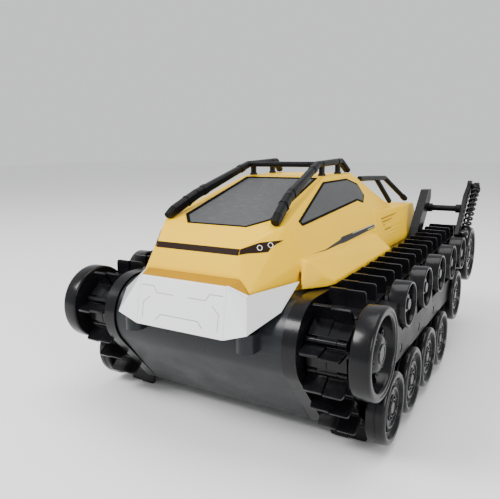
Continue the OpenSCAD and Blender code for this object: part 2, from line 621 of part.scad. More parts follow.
// shallow grooves along the rear block, which follow its two side planes
LOUVRES = [[25.6, 62], [22.6, 60], [19.6, 57], [15.4, 53], [12.2, 48], [9.0, 43]];
waist_z = 17;
groove_t = 1.2;
function tail_x(z) = z > waist_z ? 56.2 + (33 - z) * 0.30 : 61 + (waist_z - z) * 0.385;
module louvre_cuts() {
    for (g = LOUVRES) translate(cab(tail_x(g[0]) - 1, 36, g[0])) cube([6, g[1] * cab_len / 324, groove_t]);
}
module cab_shell() {
    color([0.98, 0.76, 0.05]) difference() {
        union() {
            difference() {
                cab_solid();
                cab_void();
            }
            intersection() {
                cab_solid();
                for (p = screw_pts) both_sides() translate([p[0], p[1], deck_z]) {
                    cylinder(r = 4, h = 14, $fn = 32);
                    translate([0, -1.5, 0]) cube([30, 3, 14]);
                }
            }
        }
        slab_pocket(screen_outline, screen_in);
        both_sides() slab_pocket(side_outline, side_in);
        both_sides() slab_pocket(wing_outline, -wing_out);
        slab_pocket(strip_outline, -nose_out);
        both_sides() for (p = led_pts) to_wing(p)
            translate([0, 0, -9]) cylinder(r = led_r + 0.7, h = 10, $fn = 32);
        for (p = screw_pts) both_sides()
            translate([p[0], p[1], deck_z - 1]) cylinder(r = screw_r + free_fit, h = 11, $fn = 32);
        both_sides() louvre_cuts();
    }
}
module slab_pocket(outline, v) {
    slab(moved(grown(outline, inlay_gap), -2 * v), (2 + glass_t + 0.03) * v);
}

// ---------- rails, bars and bumper ----------
// rectangular bar between two points of its middle line, w wide and h0 to h1 deep
function bar_corners(d, w, h) =
    let (side = abs(d[0]) > 0.9 * norm(d) ? [0, 1, 0] : [1, 0, 0], up = unit(cross(side, d)))
    [for (a = [-w, w] / 2, b = [-h, h] / 2) a * side + b * up];
module bar(p, q, w, h0, h1) {
    solid_of(concat(moved(bar_corners(q - p, w, h0), p), moved(bar_corners(q - p, w, h1), q)));
}
rail_w = 5;
RAIL = [cab(43.6, -142, 43.9), cab(42.8, -136.5, 47), cab(38.7, -114, 57.3), cab(31.4, -48.5, 77.8),
        cab(31.6, 0, 79.2), cab(33.4, 12, 70.6)];
RAIL_H = [4, 6.4, 7, 5, 5, 4.4];
stub_y = [-40, -6];
module roof_rails() {
    color([0.08, 0.08, 0.09]) {
        both_sides() {
            for (i = [0:len(RAIL) - 2]) bar(RAIL[i], RAIL[i + 1], rail_w, RAIL_H[i], RAIL_H[i + 1]);
            for (y = stub_y) bar(cab(31.6, y, 68.5), cab(31.6, y, 78), 4, 5, 5);
        }
        bar([-RAIL[3][0], RAIL[3][1], RAIL[3][2]], RAIL[3], rail_w - 1, 4.4, 4.4);
    }
}
ROLL = [cab(35, 40, 61.8), cab(35.6, 60, 61.2), cab(37, 112, 58.8), cab(51, 144, 34.6)];
module rear_roll_bars() {
    color([0.08, 0.08, 0.09]) both_sides() {
        for (i = [0:len(ROLL) - 2]) bar(ROLL[i], ROLL[i + 1], 4.6, 5, 5);
        bar(cab(36, 86, 60), cab(43, 112, 34.5), 4.2, 5, 5);
    }
}
bumper_t = 2.6;
face_back = [0, bumper_t, 0];
wing_back = [-1.3, 1.3, 0];
function bumper_pt(x, y, z) = [x * cab_half_w / 60, cab(0, y, 0)[1], deck_z + z];
face_tl = bumper_pt(33.7, -183.8, 10.2);
face_bl = bumper_pt(50.4, -189.4, -15.6);
face_notch = bumper_pt(39.5, -188.6, -17.5);
face_low = bumper_pt(33.7, -190.2, -21);
wing_low = bumper_pt(62, -168.5, -5.2);
wing_high = bumper_pt(61.4, -142, 7.6);
wing_neck = bumper_pt(43.2, -177.2, 4.2);
lug_r = 5;
lug_high = 8;
module plate_of(points, v) { solid_of(concat(points, moved(points, v))); }
module front_bumper() {
    color([0.92, 0.93, 0.93]) difference() {
        union() {
            plate_of(mirrored([face_tl, face_low]), face_back);
            both_sides() {
                plate_of([face_tl, face_low, face_notch, face_bl], face_back);
                plate_of([face_tl, face_bl, wing_neck], [-1, bumper_t, 0]);
                plate_of([wing_neck, face_bl, wing_low, wing_high], wing_back);
                translate([boss_at[0], boss_at[1], boss_top]) cylinder(r = lug_r, h = lug_high);
                translate([boss_at[0] - 3, face_bl[1] + 2, boss_top])
                    cube([6, boss_at[1] - face_bl[1] - 2, lug_high - 1]);
            }
        }
        both_sides() translate([boss_at[0], boss_at[1], boss_top - 1])
            cylinder(r = boss_screw_r + free_fit, h = 6, $fn = 32);
    }
}
// ---------- rear strut towers ----------
inner_arm_x = [frame_in + 1.6, track_in - 1.2];
outer_arm_x = [disc_in + 0.5, disc_in + 4.5];
cross_at = tower(-12.5, 27);
shock_low = tower(-30.5, 4);
shock_high = tower(28, 47.6);
eye_r = 4;
pivot_r = 1.6;
module rear_tower(side) {
    color([0.08, 0.08, 0.09]) on_side(side) {
        across(inner_arm_x[0]) linear_extrude(inner_arm_x[1] - inner_arm_x[0])
            polygon([tower(-60, 0.6), tower(-54.4, 10.8), tower(-15.4, 45.8), tower(-3, 45.8), tower(-3, 36),
                     tower(-36, 5), tower(-34, 0.6)]);
        across(outer_arm_x[0]) linear_extrude(outer_arm_x[1] - outer_arm_x[0]) {
            polygon([tower(-33, -0.5), tower(-38, 4.1), tower(3.5, 40.6), tower(28, 51), tower(33.5, 45),
                     tower(10.5, 33.1), tower(-24.5, 2.1), tower(-24.5, -0.5)]);
            translate(shock_high) circle(r = 6);
        }
        disc(cross_at, inner_arm_x[1] - 0.5, outer_arm_x[0] + 0.5, 3);
        disc(cross_at, inner_arm_x[1] - 0.5, inner_arm_x[1] + 4, 4.4);
        disc(cross_at, outer_arm_x[0] - 4, outer_arm_x[0] + 0.5, 4.4);
        for (p = [shock_low, shock_high]) {
            disc(p, outer_arm_x[1] - 0.5, shock_x + eye_w / 2 + 0.6, pivot_r);
            disc(p, outer_arm_x[1] - 0.5, shock_x - eye_w / 2 - move_gap, pivot_r + 1.4);
        }
    }
}
// strut beside the outer arm, drawn along +z from its lower eye
shock_x = outer_arm_x[1] + 5;
eye_w = 5;
shock_len = norm(shock_high - shock_low);
shock_lean = atan2(shock_high[0] - shock_low[0], shock_high[1] - shock_low[1]);
coil_turns = 5;
coil_r = 3.5;
coil_wire_r = 0.7;
sleeve_len = shock_len * 0.56;
module along_shock() {
    translate([shock_x, shock_low[0], shock_low[1]]) rotate([-shock_lean, 0, 0]) children();
}
module eye() {
    rotate([0, 90, 0]) difference() {
        cylinder(r = eye_r, h = eye_w, center = true);
        cylinder(r = pivot_r + run_fit, h = eye_w + 1, center = true);
    }
}
rod_r = 1.3;
module shock_rods() {
    color([0.75, 0.76, 0.78]) both_sides() along_shock() difference() {
        union() {
            eye();
            translate([0, 0, eye_r - 0.5]) cylinder(r = 2.6, h = 4);
            translate([0, 0, eye_r + 3]) cylinder(r = rod_r, h = shock_len * 0.6);
            translate([0, 0, eye_r + 3]) cylinder(r = coil_r + 1.1, h = 1.2);
        }
        rotate([0, 90, 0]) cylinder(r = pivot_r + run_fit, h = 6, center = true);
    }
}
module shock_bodies() {
    color([0.12, 0.12, 0.13]) both_sides() along_shock() difference() {
        union() {
            translate([0, 0, shock_len]) eye();
            translate([0, 0, shock_len - sleeve_len]) cylinder(r = rod_r + 1, h = sleeve_len - eye_r + 0.5);
            translate([0, 0, shock_len - eye_r - 3]) cylinder(r = coil_r + 1.1, h = 3);
        }
        translate([0, 0, shock_len - sleeve_len - 1]) cylinder(r = rod_r + run_fit, h = sleeve_len - eye_r - 1);
        translate([0, 0, shock_len]) rotate([0, 90, 0]) cylinder(r = pivot_r + run_fit, h = 6, center = true);
    }
}
// coil spring as a chain of round rings joined into one helix
spring_low = eye_r + 4.2;
spring_high = shock_len - eye_r - 3;
module shock_springs() {
    n = 14 * coil_turns;
    rise = (spring_high - spring_low - 2 * coil_wire_r) / n;
    a = 360 / 14;
    ring = [for (k = [0:5]) coil_wire_r * [cos(k * 60), sin(k * 60)]];
    pts = [for (i = [0:n], q = ring)
        [(coil_r + q[0]) * cos(i * a), (coil_r + q[0]) * sin(i * a), spring_low + coil_wire_r + i * rise + q[1]]];
    m = len(ring);
    color([0.55, 0.56, 0.58]) both_sides() along_shock() polyhedron(points = pts, faces = concat(
        [[for (k = [0:m - 1]) k]], [[for (k = [m - 1:-1:0]) n * m + k]],
        [for (i = [0:n - 1], k = [0:m - 1], t = [0, 1]) t == 0
            ? [i * m + k, (i + 1) * m + k, (i + 1) * m + (k + 1) % m]
            : [i * m + k, (i + 1) * m + (k + 1) % m, i * m + (k + 1) % m]]));
}

// ---------- inside the tub ----------
module battery_pack() {
    color([0.10, 0.25, 0.60]) bay_block(0, door_z + door_size[2] + 0.3, battery_size[2]);
}
module control_board() {
    z = floor_z + post_h;
    color([0.05, 0.35, 0.15]) difference() {
        translate([board_at[0], board_at[1], z]) cube(board_size);
        board_posts(1, z - 1, 4);
    }
    color([0.1, 0.1, 0.1]) translate([board_at[0], board_at[1], z + board_size[2]]) {
        translate([16, 12, 0]) cube([14, 14, 2]);
        translate([38, 26, 0]) cube([8, 10, 3]);
        translate([10, 30, 0]) cylinder(r = 4, h = 8);
    }
}
module case_screws() {
    color([0.45, 0.45, 0.47]) both_sides() {
        for (p = screw_pts) translate([p[0], p[1], deck_z - tub_t - 2]) {
            cylinder(r = screw_r, h = tub_t + 11);
            cylinder(r = 2.8, h = 1.9);
        }
        translate([boss_at[0], boss_at[1], boss_top - boss_h - 1.6]) {
            cylinder(r = boss_screw_r, h = boss_h + 6);
            cylinder(r = 2.4, h = 1.6);
        }
        for (p = POSTS) {
            disc(p, outer_in - 6, guard_out - 2, 1.15);
            disc(p, guard_out - 2, guard_out - 0.4, 2.6);
        }
    }
}

for (s = SIDES) {
    for (i = [1:WHEELS]) {
        road_wheel(s, i);
        return_roller(s, i);
    }
    drive_wheel(s);
    hub_cap(s);
    drive_axle(s);
    drive_gear(s);
    motor_pinion(s);
    idler_wheel(s);
    side_frame(s);
    outer_frame(s);
    rear_tower(s);
    track_links(s);
}
chassis_tub();
cab_shell();
windshield();
side_windows();
light_strip();
roof_rails();
rear_roll_bars();
front_bumper();
battery_door();
power_switch();
track_pins();
wheel_axles();
shock_bodies();
shock_rods();
shock_springs();
drive_motors();
battery_pack();
control_board();
headlight_leds();
case_screws();
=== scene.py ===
import bpy
import bmesh
import json
import math
from mathutils import Matrix, Vector


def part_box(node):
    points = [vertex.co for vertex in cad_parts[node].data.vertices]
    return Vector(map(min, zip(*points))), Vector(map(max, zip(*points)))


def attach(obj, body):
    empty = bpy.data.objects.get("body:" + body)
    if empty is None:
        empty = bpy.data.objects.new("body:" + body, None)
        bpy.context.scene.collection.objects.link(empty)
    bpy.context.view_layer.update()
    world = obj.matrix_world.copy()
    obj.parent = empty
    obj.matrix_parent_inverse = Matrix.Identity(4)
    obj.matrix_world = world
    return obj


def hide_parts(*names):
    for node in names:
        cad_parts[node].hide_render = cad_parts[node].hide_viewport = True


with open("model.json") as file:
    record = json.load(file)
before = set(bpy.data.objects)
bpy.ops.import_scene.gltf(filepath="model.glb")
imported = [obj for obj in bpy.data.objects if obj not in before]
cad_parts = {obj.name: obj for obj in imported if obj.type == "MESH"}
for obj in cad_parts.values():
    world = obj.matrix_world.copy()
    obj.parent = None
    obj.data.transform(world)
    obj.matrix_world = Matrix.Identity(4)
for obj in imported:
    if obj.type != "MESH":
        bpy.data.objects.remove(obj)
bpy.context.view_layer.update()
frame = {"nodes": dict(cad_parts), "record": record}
MM = 0.001
# height of the deck that the cab stands on, above the ground
DECK = 100.87
SIDES = (("left", 1), ("right", -1))


# ---------- materials ----------
def node(nt, kind, **inputs):
    n = nt.nodes.new(kind)
    for k, v in inputs.items():
        n.inputs[k.replace("_", " ")].default_value = v
    return n


def ramp(nt, source, lo, hi, a, b):
    n = nt.nodes.new("ShaderNodeMapRange")
    n.inputs["From Min"].default_value = lo
    n.inputs["From Max"].default_value = hi
    n.inputs["To Min"].default_value = a
    n.inputs["To Max"].default_value = b
    nt.links.new(source, n.inputs["Value"])
    return n.outputs["Result"]


def mix_colour(nt, fac, a, b):
    n = nt.nodes.new("ShaderNodeMix")
    n.data_type = "RGBA"
    for value, index in ((a, 6), (b, 7)):
        if isinstance(value, tuple):
            n.inputs[index].default_value = (*value, 1)
        else:
            nt.links.new(value, n.inputs[index])
    nt.links.new(fac, n.inputs[0])
    return n.outputs[2]


def make_mat(name, base, rough, metal=0.0, coat=0.0, grain=900.0, grain_depth=0.02, wave=30.0, wave_depth=0.0,
             var=0.08, smudge=0.12, dust=0.0, scratch=0.0, scratch_colour=(0.5, 0.5, 0.5), brushed=None,
             spec=0.5):
    """principled material with grain, cloudy gloss and, where asked, waves, dust and fine scratches"""
    m = bpy.data.materials.new(name)
    m.use_nodes = True
    nt = m.node_tree
    nt.nodes.clear()
    out = nt.nodes.new("ShaderNodeOutputMaterial")
    bs = nt.nodes.new("ShaderNodeBsdfPrincipled")
    nt.links.new(bs.outputs["BSDF"], out.inputs["Surface"])
    bs.inputs["Metallic"].default_value = metal
    bs.inputs["Coat Weight"].default_value = coat
    bs.inputs["Coat Roughness"].default_value = 0.12
    bs.inputs["Specular IOR Level"].default_value = spec
    tc = nt.nodes.new("ShaderNodeTexCoord")
    mapping = nt.nodes.new("ShaderNodeMapping")
    nt.links.new(tc.outputs["Object"], mapping.inputs["Vector"])
    if brushed:
        mapping.inputs["Scale"].default_value = brushed

    def noise(scale, detail=4.0, source=None):
        n = node(nt, "ShaderNodeTexNoise", Scale=scale, Detail=detail, Roughness=0.55)
        nt.links.new(source or tc.outputs["Object"], n.inputs["Vector"])
        return n.outputs["Fac"]

    fine = noise(grain, 3, mapping.outputs["Vector"])
    cloud = noise(45, 5)
    broad = noise(11, 3)
    dark = tuple(c * (1 - var) for c in base)
    light = tuple(min(1, c * (1 + var)) for c in base)
    colour = mix_colour(nt, ramp(nt, broad, 0.35, 0.65, 0, 1), dark, light)
    rough_out = ramp(nt, cloud, 0.3, 0.7, max(0.03, rough - smudge / 2), min(1, rough + smudge / 2))
    if scratch:
        stretch = nt.nodes.new("ShaderNodeMapping")
        stretch.inputs["Scale"].default_value = (60, 900, 420)
        stretch.inputs["Rotation"].default_value = (0.3, 0.5, 0.35)
        nt.links.new(tc.outputs["Object"], stretch.inputs["Vector"])
        lines = ramp(nt, noise(1.0, 2, stretch.outputs["Vector"]), 0.70, 0.76, 0, scratch)
        colour = mix_colour(nt, lines, colour, scratch_colour)
    if dust:
        geo = nt.nodes.new("ShaderNodeNewGeometry")
        sep = nt.nodes.new("ShaderNodeSeparateXYZ")
        nt.links.new(geo.outputs["Normal"], sep.inputs["Vector"])
        upward = ramp(nt, sep.outputs["Z"], 0.1, 1.0, 0.25, 1.0)
        speck = ramp(nt, noise(260, 6), 0.52, 0.75, 0.0, dust)
        mul = nt.nodes.new("ShaderNodeMath")
        mul.operation = "MULTIPLY"
        nt.links.new(upward, mul.inputs[0])
        nt.links.new(speck, mul.inputs[1])
        colour = mix_colour(nt, mul.outputs[0], colour, (0.42, 0.40, 0.37))
    nt.links.new(colour, bs.inputs["Base Color"])
    nt.links.new(rough_out, bs.inputs["Roughness"])
    bump = nt.nodes.new("ShaderNodeBump")
    bump.inputs["Strength"].default_value = 0.35
    bump.inputs["Distance"].default_value = grain_depth * MM
    nt.links.new(fine, bump.inputs["Height"])
    last = bump
    if wave_depth:
        b2 = nt.nodes.new("ShaderNodeBump")
        b2.inputs["Strength"].default_value = 0.5
        b2.inputs["Distance"].default_value = wave_depth * MM
        nt.links.new(noise(wave, 2), b2.inputs["Height"])
        nt.links.new(bump.outputs["Normal"], b2.inputs["Normal"])
        last = b2
    nt.links.new(last.outputs["Normal"], bs.inputs["Normal"])
    return m


LOOKS = {
    "yellow_shell": dict(base=(0.93, 0.55, 0.0), rough=0.40, coat=0.03, spec=0.16, grain=1400,
                         grain_depth=0.03, wave=38, wave_depth=0.25, var=0.03, smudge=0.10, dust=0.06),
    "dark_glass": dict(base=(0.062, 0.064, 0.066), rough=0.5, spec=0.3, grain=1600, grain_depth=0.02,
                       var=0.05, smudge=0.10, dust=0.10),
    "gasket": dict(base=(0.002, 0.002, 0.002), rough=0.6, spec=0.06, grain=1500, grain_depth=0.03),
    "lamp_strip": dict(base=(0.016, 0.007, 0.004), rough=0.45, spec=0.1, grain=1500, var=0.1),
    "lamp": dict(base=(0.90, 0.88, 0.82), rough=0.25, coat=0.4, grain=1200, var=0.02),
    "silver_bumper": dict(base=(0.86, 0.87, 0.87), rough=0.36, metal=0.0, coat=0.15, grain=1700,
                          grain_depth=0.03, var=0.02, smudge=0.08, dust=0.03),
    "bumper_wing": dict(base=(0.52, 0.54, 0.52), rough=0.38, grain=1700, grain_depth=0.03, var=0.03),
    "dark_metal": dict(base=(0.035, 0.035, 0.038), rough=0.3, metal=0.7, grain=700, var=0.1),
    "bumper_line": dict(base=(0.22, 0.22, 0.22), rough=0.5, grain=1500, var=0.1),
    "black_gloss": dict(base=(0.004, 0.004, 0.005), rough=0.22, coat=0.05, spec=0.2, grain=1300,
                        grain_depth=0.03, wave=60, wave_depth=0.12, var=0.15, smudge=0.16, dust=0.012,
                        scratch=0.06, scratch_colour=(0.10, 0.10, 0.10)),
    "black_satin": dict(base=(0.004, 0.004, 0.0045), rough=0.34, spec=0.14, grain=1100, grain_depth=0.05,
                        var=0.15, smudge=0.14, dust=0.014, scratch=0.05,
                        scratch_colour=(0.08, 0.08, 0.08)),
    "chassis_grey": dict(base=(0.011, 0.013, 0.015), rough=0.32, spec=0.22, grain=1200, grain_depth=0.04,
                         wave=24, wave_depth=0.3, var=0.12, smudge=0.16, dust=0.02, scratch=0.05,
                         scratch_colour=(0.06, 0.065, 0.07)),
    "steel": dict(base=(0.62, 0.63, 0.65), rough=0.32, metal=1.0, grain=500, brushed=(1, 4, 4), var=0.06,
                  smudge=0.15),
    "motor_can": dict(base=(0.55, 0.56, 0.58), rough=0.38, metal=1.0, grain=420, brushed=(0.2, 3, 3),
                      var=0.08),
    "gear_nylon": dict(base=(0.78, 0.76, 0.68), rough=0.5, grain=900, var=0.05),
    "pinion_brass": dict(base=(0.72, 0.52, 0.22), rough=0.3, metal=1.0, grain=700, var=0.08),
    "battery_wrap": dict(base=(0.04, 0.14, 0.45), rough=0.3, coat=0.3, grain=700, var=0.08, wave=40,
                         wave_depth=0.3),
    "board_green": dict(base=(0.02, 0.20, 0.07), rough=0.38, grain=900, var=0.12),
    "switch_red": dict(base=(0.65, 0.05, 0.04), rough=0.4, grain=900, var=0.06),
    "decal": dict(base=(0.028, 0.029, 0.031), rough=0.5, spec=0.15, grain=1500, var=0.05),
    "decal_light": dict(base=(0.55, 0.50, 0.36), rough=0.4, grain=1500, var=0.05),
    # darker tan yellow: painted shade for the shaded louvre slots and the shaded ledge under the nose
    "louvre_tan": dict(base=(0.40, 0.20, 0.0), rough=0.5, spec=0.15, grain=1500, var=0.05),
}
M = {name: make_mat(name, **look) for name, look in LOOKS.items()}
SLOTS = {s["node"]: s["material_slot"] for s in frame["record"].get("subparts") or []}


# ---------- mesh helpers, all in millimetres ----------
def finish_mesh(name, bm, mat, body, bevel=0.0, segments=3, angle=32, replaces=None, slot=None,
                keep_flat=False):
    """turns a bmesh in millimetres into a piece that rides on body"""
    bmesh.ops.recalc_face_normals(bm, faces=bm.faces)
    bmesh.ops.scale(bm, vec=(MM, MM, MM), verts=bm.verts)
    me = bpy.data.meshes.new(name)
    bm.to_mesh(me)
    bm.free()
    o = bpy.data.objects.new(name, me)
    bpy.context.scene.collection.objects.link(o)
    for m in mat if isinstance(mat, (list, tuple)) else [mat]:
        me.materials.append(M[m])
    if not keep_flat:
        for p in me.polygons:
            p.use_smooth = True
        me.set_sharp_from_angle(angle=math.radians(angle))
    if bevel:
        b = o.modifiers.new("bevel", "BEVEL")
        b.width = bevel * MM
        b.segments = segments
        b.limit_method = "ANGLE"
        b.angle_limit = math.radians(angle)
        b.harden_normals = True
        b.miter_outer = "MITER_ARC"
    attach(o, body)
    if replaces:
        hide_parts(*([replaces] if isinstance(replaces, str) else replaces))
    return o


def hull_into(bm, points):
    verts = [bm.verts.new(p) for p in points]
    out = bmesh.ops.convex_hull(bm, input=verts)
    spare = out["geom_interior"] + out["geom_unused"]
    drop = [g for g in spare if isinstance(g, bmesh.types.BMVert) and g.is_valid]
    bmesh.ops.delete(bm, geom=list(set(drop)), context="VERTS")
    faces = [g for g in out["geom"] if isinstance(g, bmesh.types.BMFace) and g.is_valid]
    edges = list({e for f in faces for e in f.edges})
    bmesh.ops.dissolve_limit(bm, angle_limit=math.radians(1.5), verts=[], edges=edges)


def hull_piece(name, points, *args, **kw):
    bm = bmesh.new()
    hull_into(bm, points)
    return finish_mesh(name, bm, *args, **kw)


def both(points):
    return list(points) + [(-x, y, z) for x, y, z in points]


def cab(x, y, z):
    return (x, y, DECK + z)


def skin_rings(bm, rings):
    """faces between closed profiles of vertices, and from the last one back to the first"""
    for k, a in enumerate(rings):
        b = rings[(k + 1) % len(rings)]
        for i in range(len(a)):
            j = (i + 1) % len(a)
            bm.faces.new((a[i], a[j], b[j], b[i]))


def lathe_into(bm, profile, centre, x0, sign=1, segs=96):
    """solid of revolution about a cross axis; profile: closed list of (x outward, r)"""
    rings = []
    for k in range(segs):
        a = 2 * math.pi * k / segs
        y, z = math.cos(a), math.sin(a)
        rings.append([bm.verts.new((sign * (x0 + x), centre[0] + r * y, centre[1] + r * z))
                      for x, r in profile])
    skin_rings(bm, rings)


def prism_into(bm, outline, x0, x1):
    """outline in (y, z), raised from x0 to x1."""
    a = [bm.verts.new((x0, y, z)) for y, z in outline]
    b = [bm.verts.new((x1, y, z)) for y, z in outline]
    bm.faces.new(a)
    bm.faces.new(list(reversed(b)))
    n = len(outline)
    for i in range(n):
        j = (i + 1) % n
        bm.faces.new((a[i], b[i], b[j], a[j]))


def slab_into(bm, outline, v):
    """outline in space and its copy moved by v."""
    v = Vector(v)
    a = [bm.verts.new(Vector(p)) for p in outline]
    b = [bm.verts.new(Vector(p) + v) for p in outline]
    bm.faces.new(a)
    bm.faces.new(list(reversed(b)))
    n = len(outline)
    for i in range(n):
        j = (i + 1) % n
        bm.faces.new((a[i], b[i], b[j], a[j]))


def tool_mesh(build):
    bm = bmesh.new()
    build(bm)
    bmesh.ops.recalc_face_normals(bm, faces=bm.faces)
    bmesh.ops.scale(bm, vec=(MM, MM, MM), verts=bm.verts)
    me = bpy.data.meshes.new("tool")
    bm.to_mesh(me)
    bm.free()
    o = bpy.data.objects.new("tool", me)
    bpy.context.scene.collection.objects.link(o)
    return o


# ---------- wheels ----------
# across the vehicle, from the middle plane: inner face of the wheel discs, outer face of the side frames
DISC, FRAME_OUT, MOVE_GAP = 107.4, 76.0, 0.3
HUB_REACH = -(DISC - FRAME_OUT - MOVE_GAP)
# bores for the stub axles and for the drive axles
STUB_BORE, AXLE_BORE = 2.05, 3.05
PLACES = {}
for s, sg in SIDES:
    for i in range(1, 6):
        for kind in ("road_wheel", "return_roller"):
            n = "%s_%s_%d" % (kind, s, i)
            lo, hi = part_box(n)
            PLACES[n] = (sg, ((lo[1] + hi[1]) / 2 / MM, (lo[2] + hi[2]) / 2 / MM))
    for kind in ("drive_wheel", "idler_wheel"):
        n = "%s_%s" % (kind, s)
        lo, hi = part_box(n)
        PLACES[n] = (sg, ((lo[1] + hi[1]) / 2 / MM, (lo[2] + hi[2]) / 2 / MM))


def arc_profile(cx, cr, rad, a0, a1, n=5):
    return [(cx + rad * math.cos(math.radians(a0 + (a1 - a0) * k / n)),
             cr + rad * math.sin(math.radians(a0 + (a1 - a0) * k / n))) for k in range(n + 1)]


def tick_ring(bm, sg, c, x0, x1, r0, r1, spans):
    """raised blocks that follow a circle: spans are (start, end) in degrees."""
    for a0, a1 in spans:
        steps = max(1, round((a1 - a0) / 6))
        pts = [(r1, a0 + (a1 - a0) * k / steps) for k in range(steps + 1)]
        pts += [(r0, a1 - (a1 - a0) * k / steps) for k in range(steps + 1)]
        out = [(c[0] + r * math.cos(math.radians(a)), c[1] + r * math.sin(math.radians(a))) for r, a in pts]
        prism_into(bm, out, sg * x0, sg * x1)


def spoke_into(bm, c, degrees, inner, outer, x0, x1):
    """bar along a radius of the wheel at c; inner and outer are (radius, half width)"""
    a = math.radians(degrees)
    d = Vector((math.cos(a), math.sin(a)))
    t = Vector((-d.y, d.x))
    (r0, w0), (r1, w1) = inner, outer
    pts = [Vector(c) + d * r + t * w for r, w in ((r0, w0), (r1, w1), (r1, -w1), (r0, -w0))]
    prism_into(bm, [tuple(p) for p in pts], x0, x1)


def road_wheel(name, r=23.8, hub_in_r=9.27, hub_face=13.3):
    sg, c = PLACES[name]
    kind = "road_wheel" if name.startswith("road") else "idler"
    prof = [(HUB_REACH, STUB_BORE), (HUB_REACH, hub_in_r), (0, hub_in_r), (0, r - 2.2)]
    prof += arc_profile(1.6, r - 2.2, 2.2, 135, 90, 3)[1:]
    prof += [(5.2, r), (5.6, r - 0.5), (6.2, r - 0.5), (6.6, r)]
    prof += arc_profile(9.6, r - 2.8, 2.8, 90, 10, 6)
    prof += [(12.0, r - 4.2), (10.6, r - 5.0), (9.6, r - 5.4), (9.2, r - 6.6), (9.9, r - 7.2), (9.9, r - 8.2),
             (8.9, r - 8.8), (8.9, hub_face + 0.7), (10.6, hub_face + 0.1), (10.9, hub_face - 0.6),
             (10.9, hub_face - 1.5), (9.9, hub_face - 2.1), (9.9, 6.4), (11.0, 5.8), (11.2, 4.9), (9.2, 4.7),
             (9.2, STUB_BORE)]
    bm = bmesh.new()
    lathe_into(bm, prof, c, DISC, sg, 96)
    spans = []
    a = 22.0
    for w in (16, 6, 10, 5, 14, 7, 12):
        spans.append((a, a + w))
        a += w + 5.5
    spans += [(p + 180, q + 180) for p, q in spans if q < 170]
    tick_ring(bm, sg, c, DISC + 9.5, DISC + 10.7, 7.1, 8.3 if kind == "road_wheel" else 9.2, spans)
    for k in range(6):
        ang = math.radians(60 * k + 10)
        cy, cz = c[0] + (hub_face + 1.9) * math.cos(ang), c[1] + (hub_face + 1.9) * math.sin(ang)
        out = [(cy + 0.8 * math.cos(t * math.pi / 4), cz + 0.8 * math.sin(t * math.pi / 4)) for t in range(8)]
        prism_into(bm, out, sg * (DISC + 8.6), sg * (DISC + 9.7))
    body = name if kind == "road_wheel" else name.replace("idler_wheel", "idler")
    return finish_mesh("v_" + name, bm, "black_gloss", body, bevel=0.16, segments=2, angle=38, replaces=name,
                       slot="black_gloss")


def roller(name, r=15.5):
    sg, c = PLACES[name]
    prof = [(0, STUB_BORE), (0, r - 0.8), (0.8, r), (11.2, r), (11.9, r - 0.5), (11.9, r - 1.5),
            (11.2, r - 1.9), (7.4, r - 2.1), (7.0, r - 3), (7.0, STUB_BORE)]
    bm = bmesh.new()
    lathe_into(bm, prof, c, DISC, sg, 96)

    # three-cornered hub with a pocketed middle
    def tri(rad, cut_in, x0, x1):
        pts = []
        for k in range(3):
            for d in (-cut_in, cut_in):
                a = math.radians(90 + 120 * k + d)
                pts.append((c[0] + rad * math.cos(a), c[1] + rad * math.sin(a)))
        prism_into(bm, pts, sg * x0, sg * x1)
    tri(8.4, 9, DISC + 6.8, DISC + 8.6)
    tri(6.8, 12, DISC + 8.4, DISC + 9.8)
    nut = [(6.5, STUB_BORE), (6.5, 4.0), (10.2, 4.0), (10.5, 3.7), (10.5, 2.9), (9.2, 2.7), (9.2, STUB_BORE)]
    lathe_into(bm, nut, c, DISC, sg, 32)
    for k in range(3):
        spoke_into(bm, c, 30 + 120 * k, (6, 1.1), (13.6, 0.8), sg * (DISC + 6.9), sg * (DISC + 8.3))
    return finish_mesh("v_" + name, bm, "black_gloss", name, bevel=0.16, segments=2, angle=38, replaces=name,
                       slot="black_gloss")


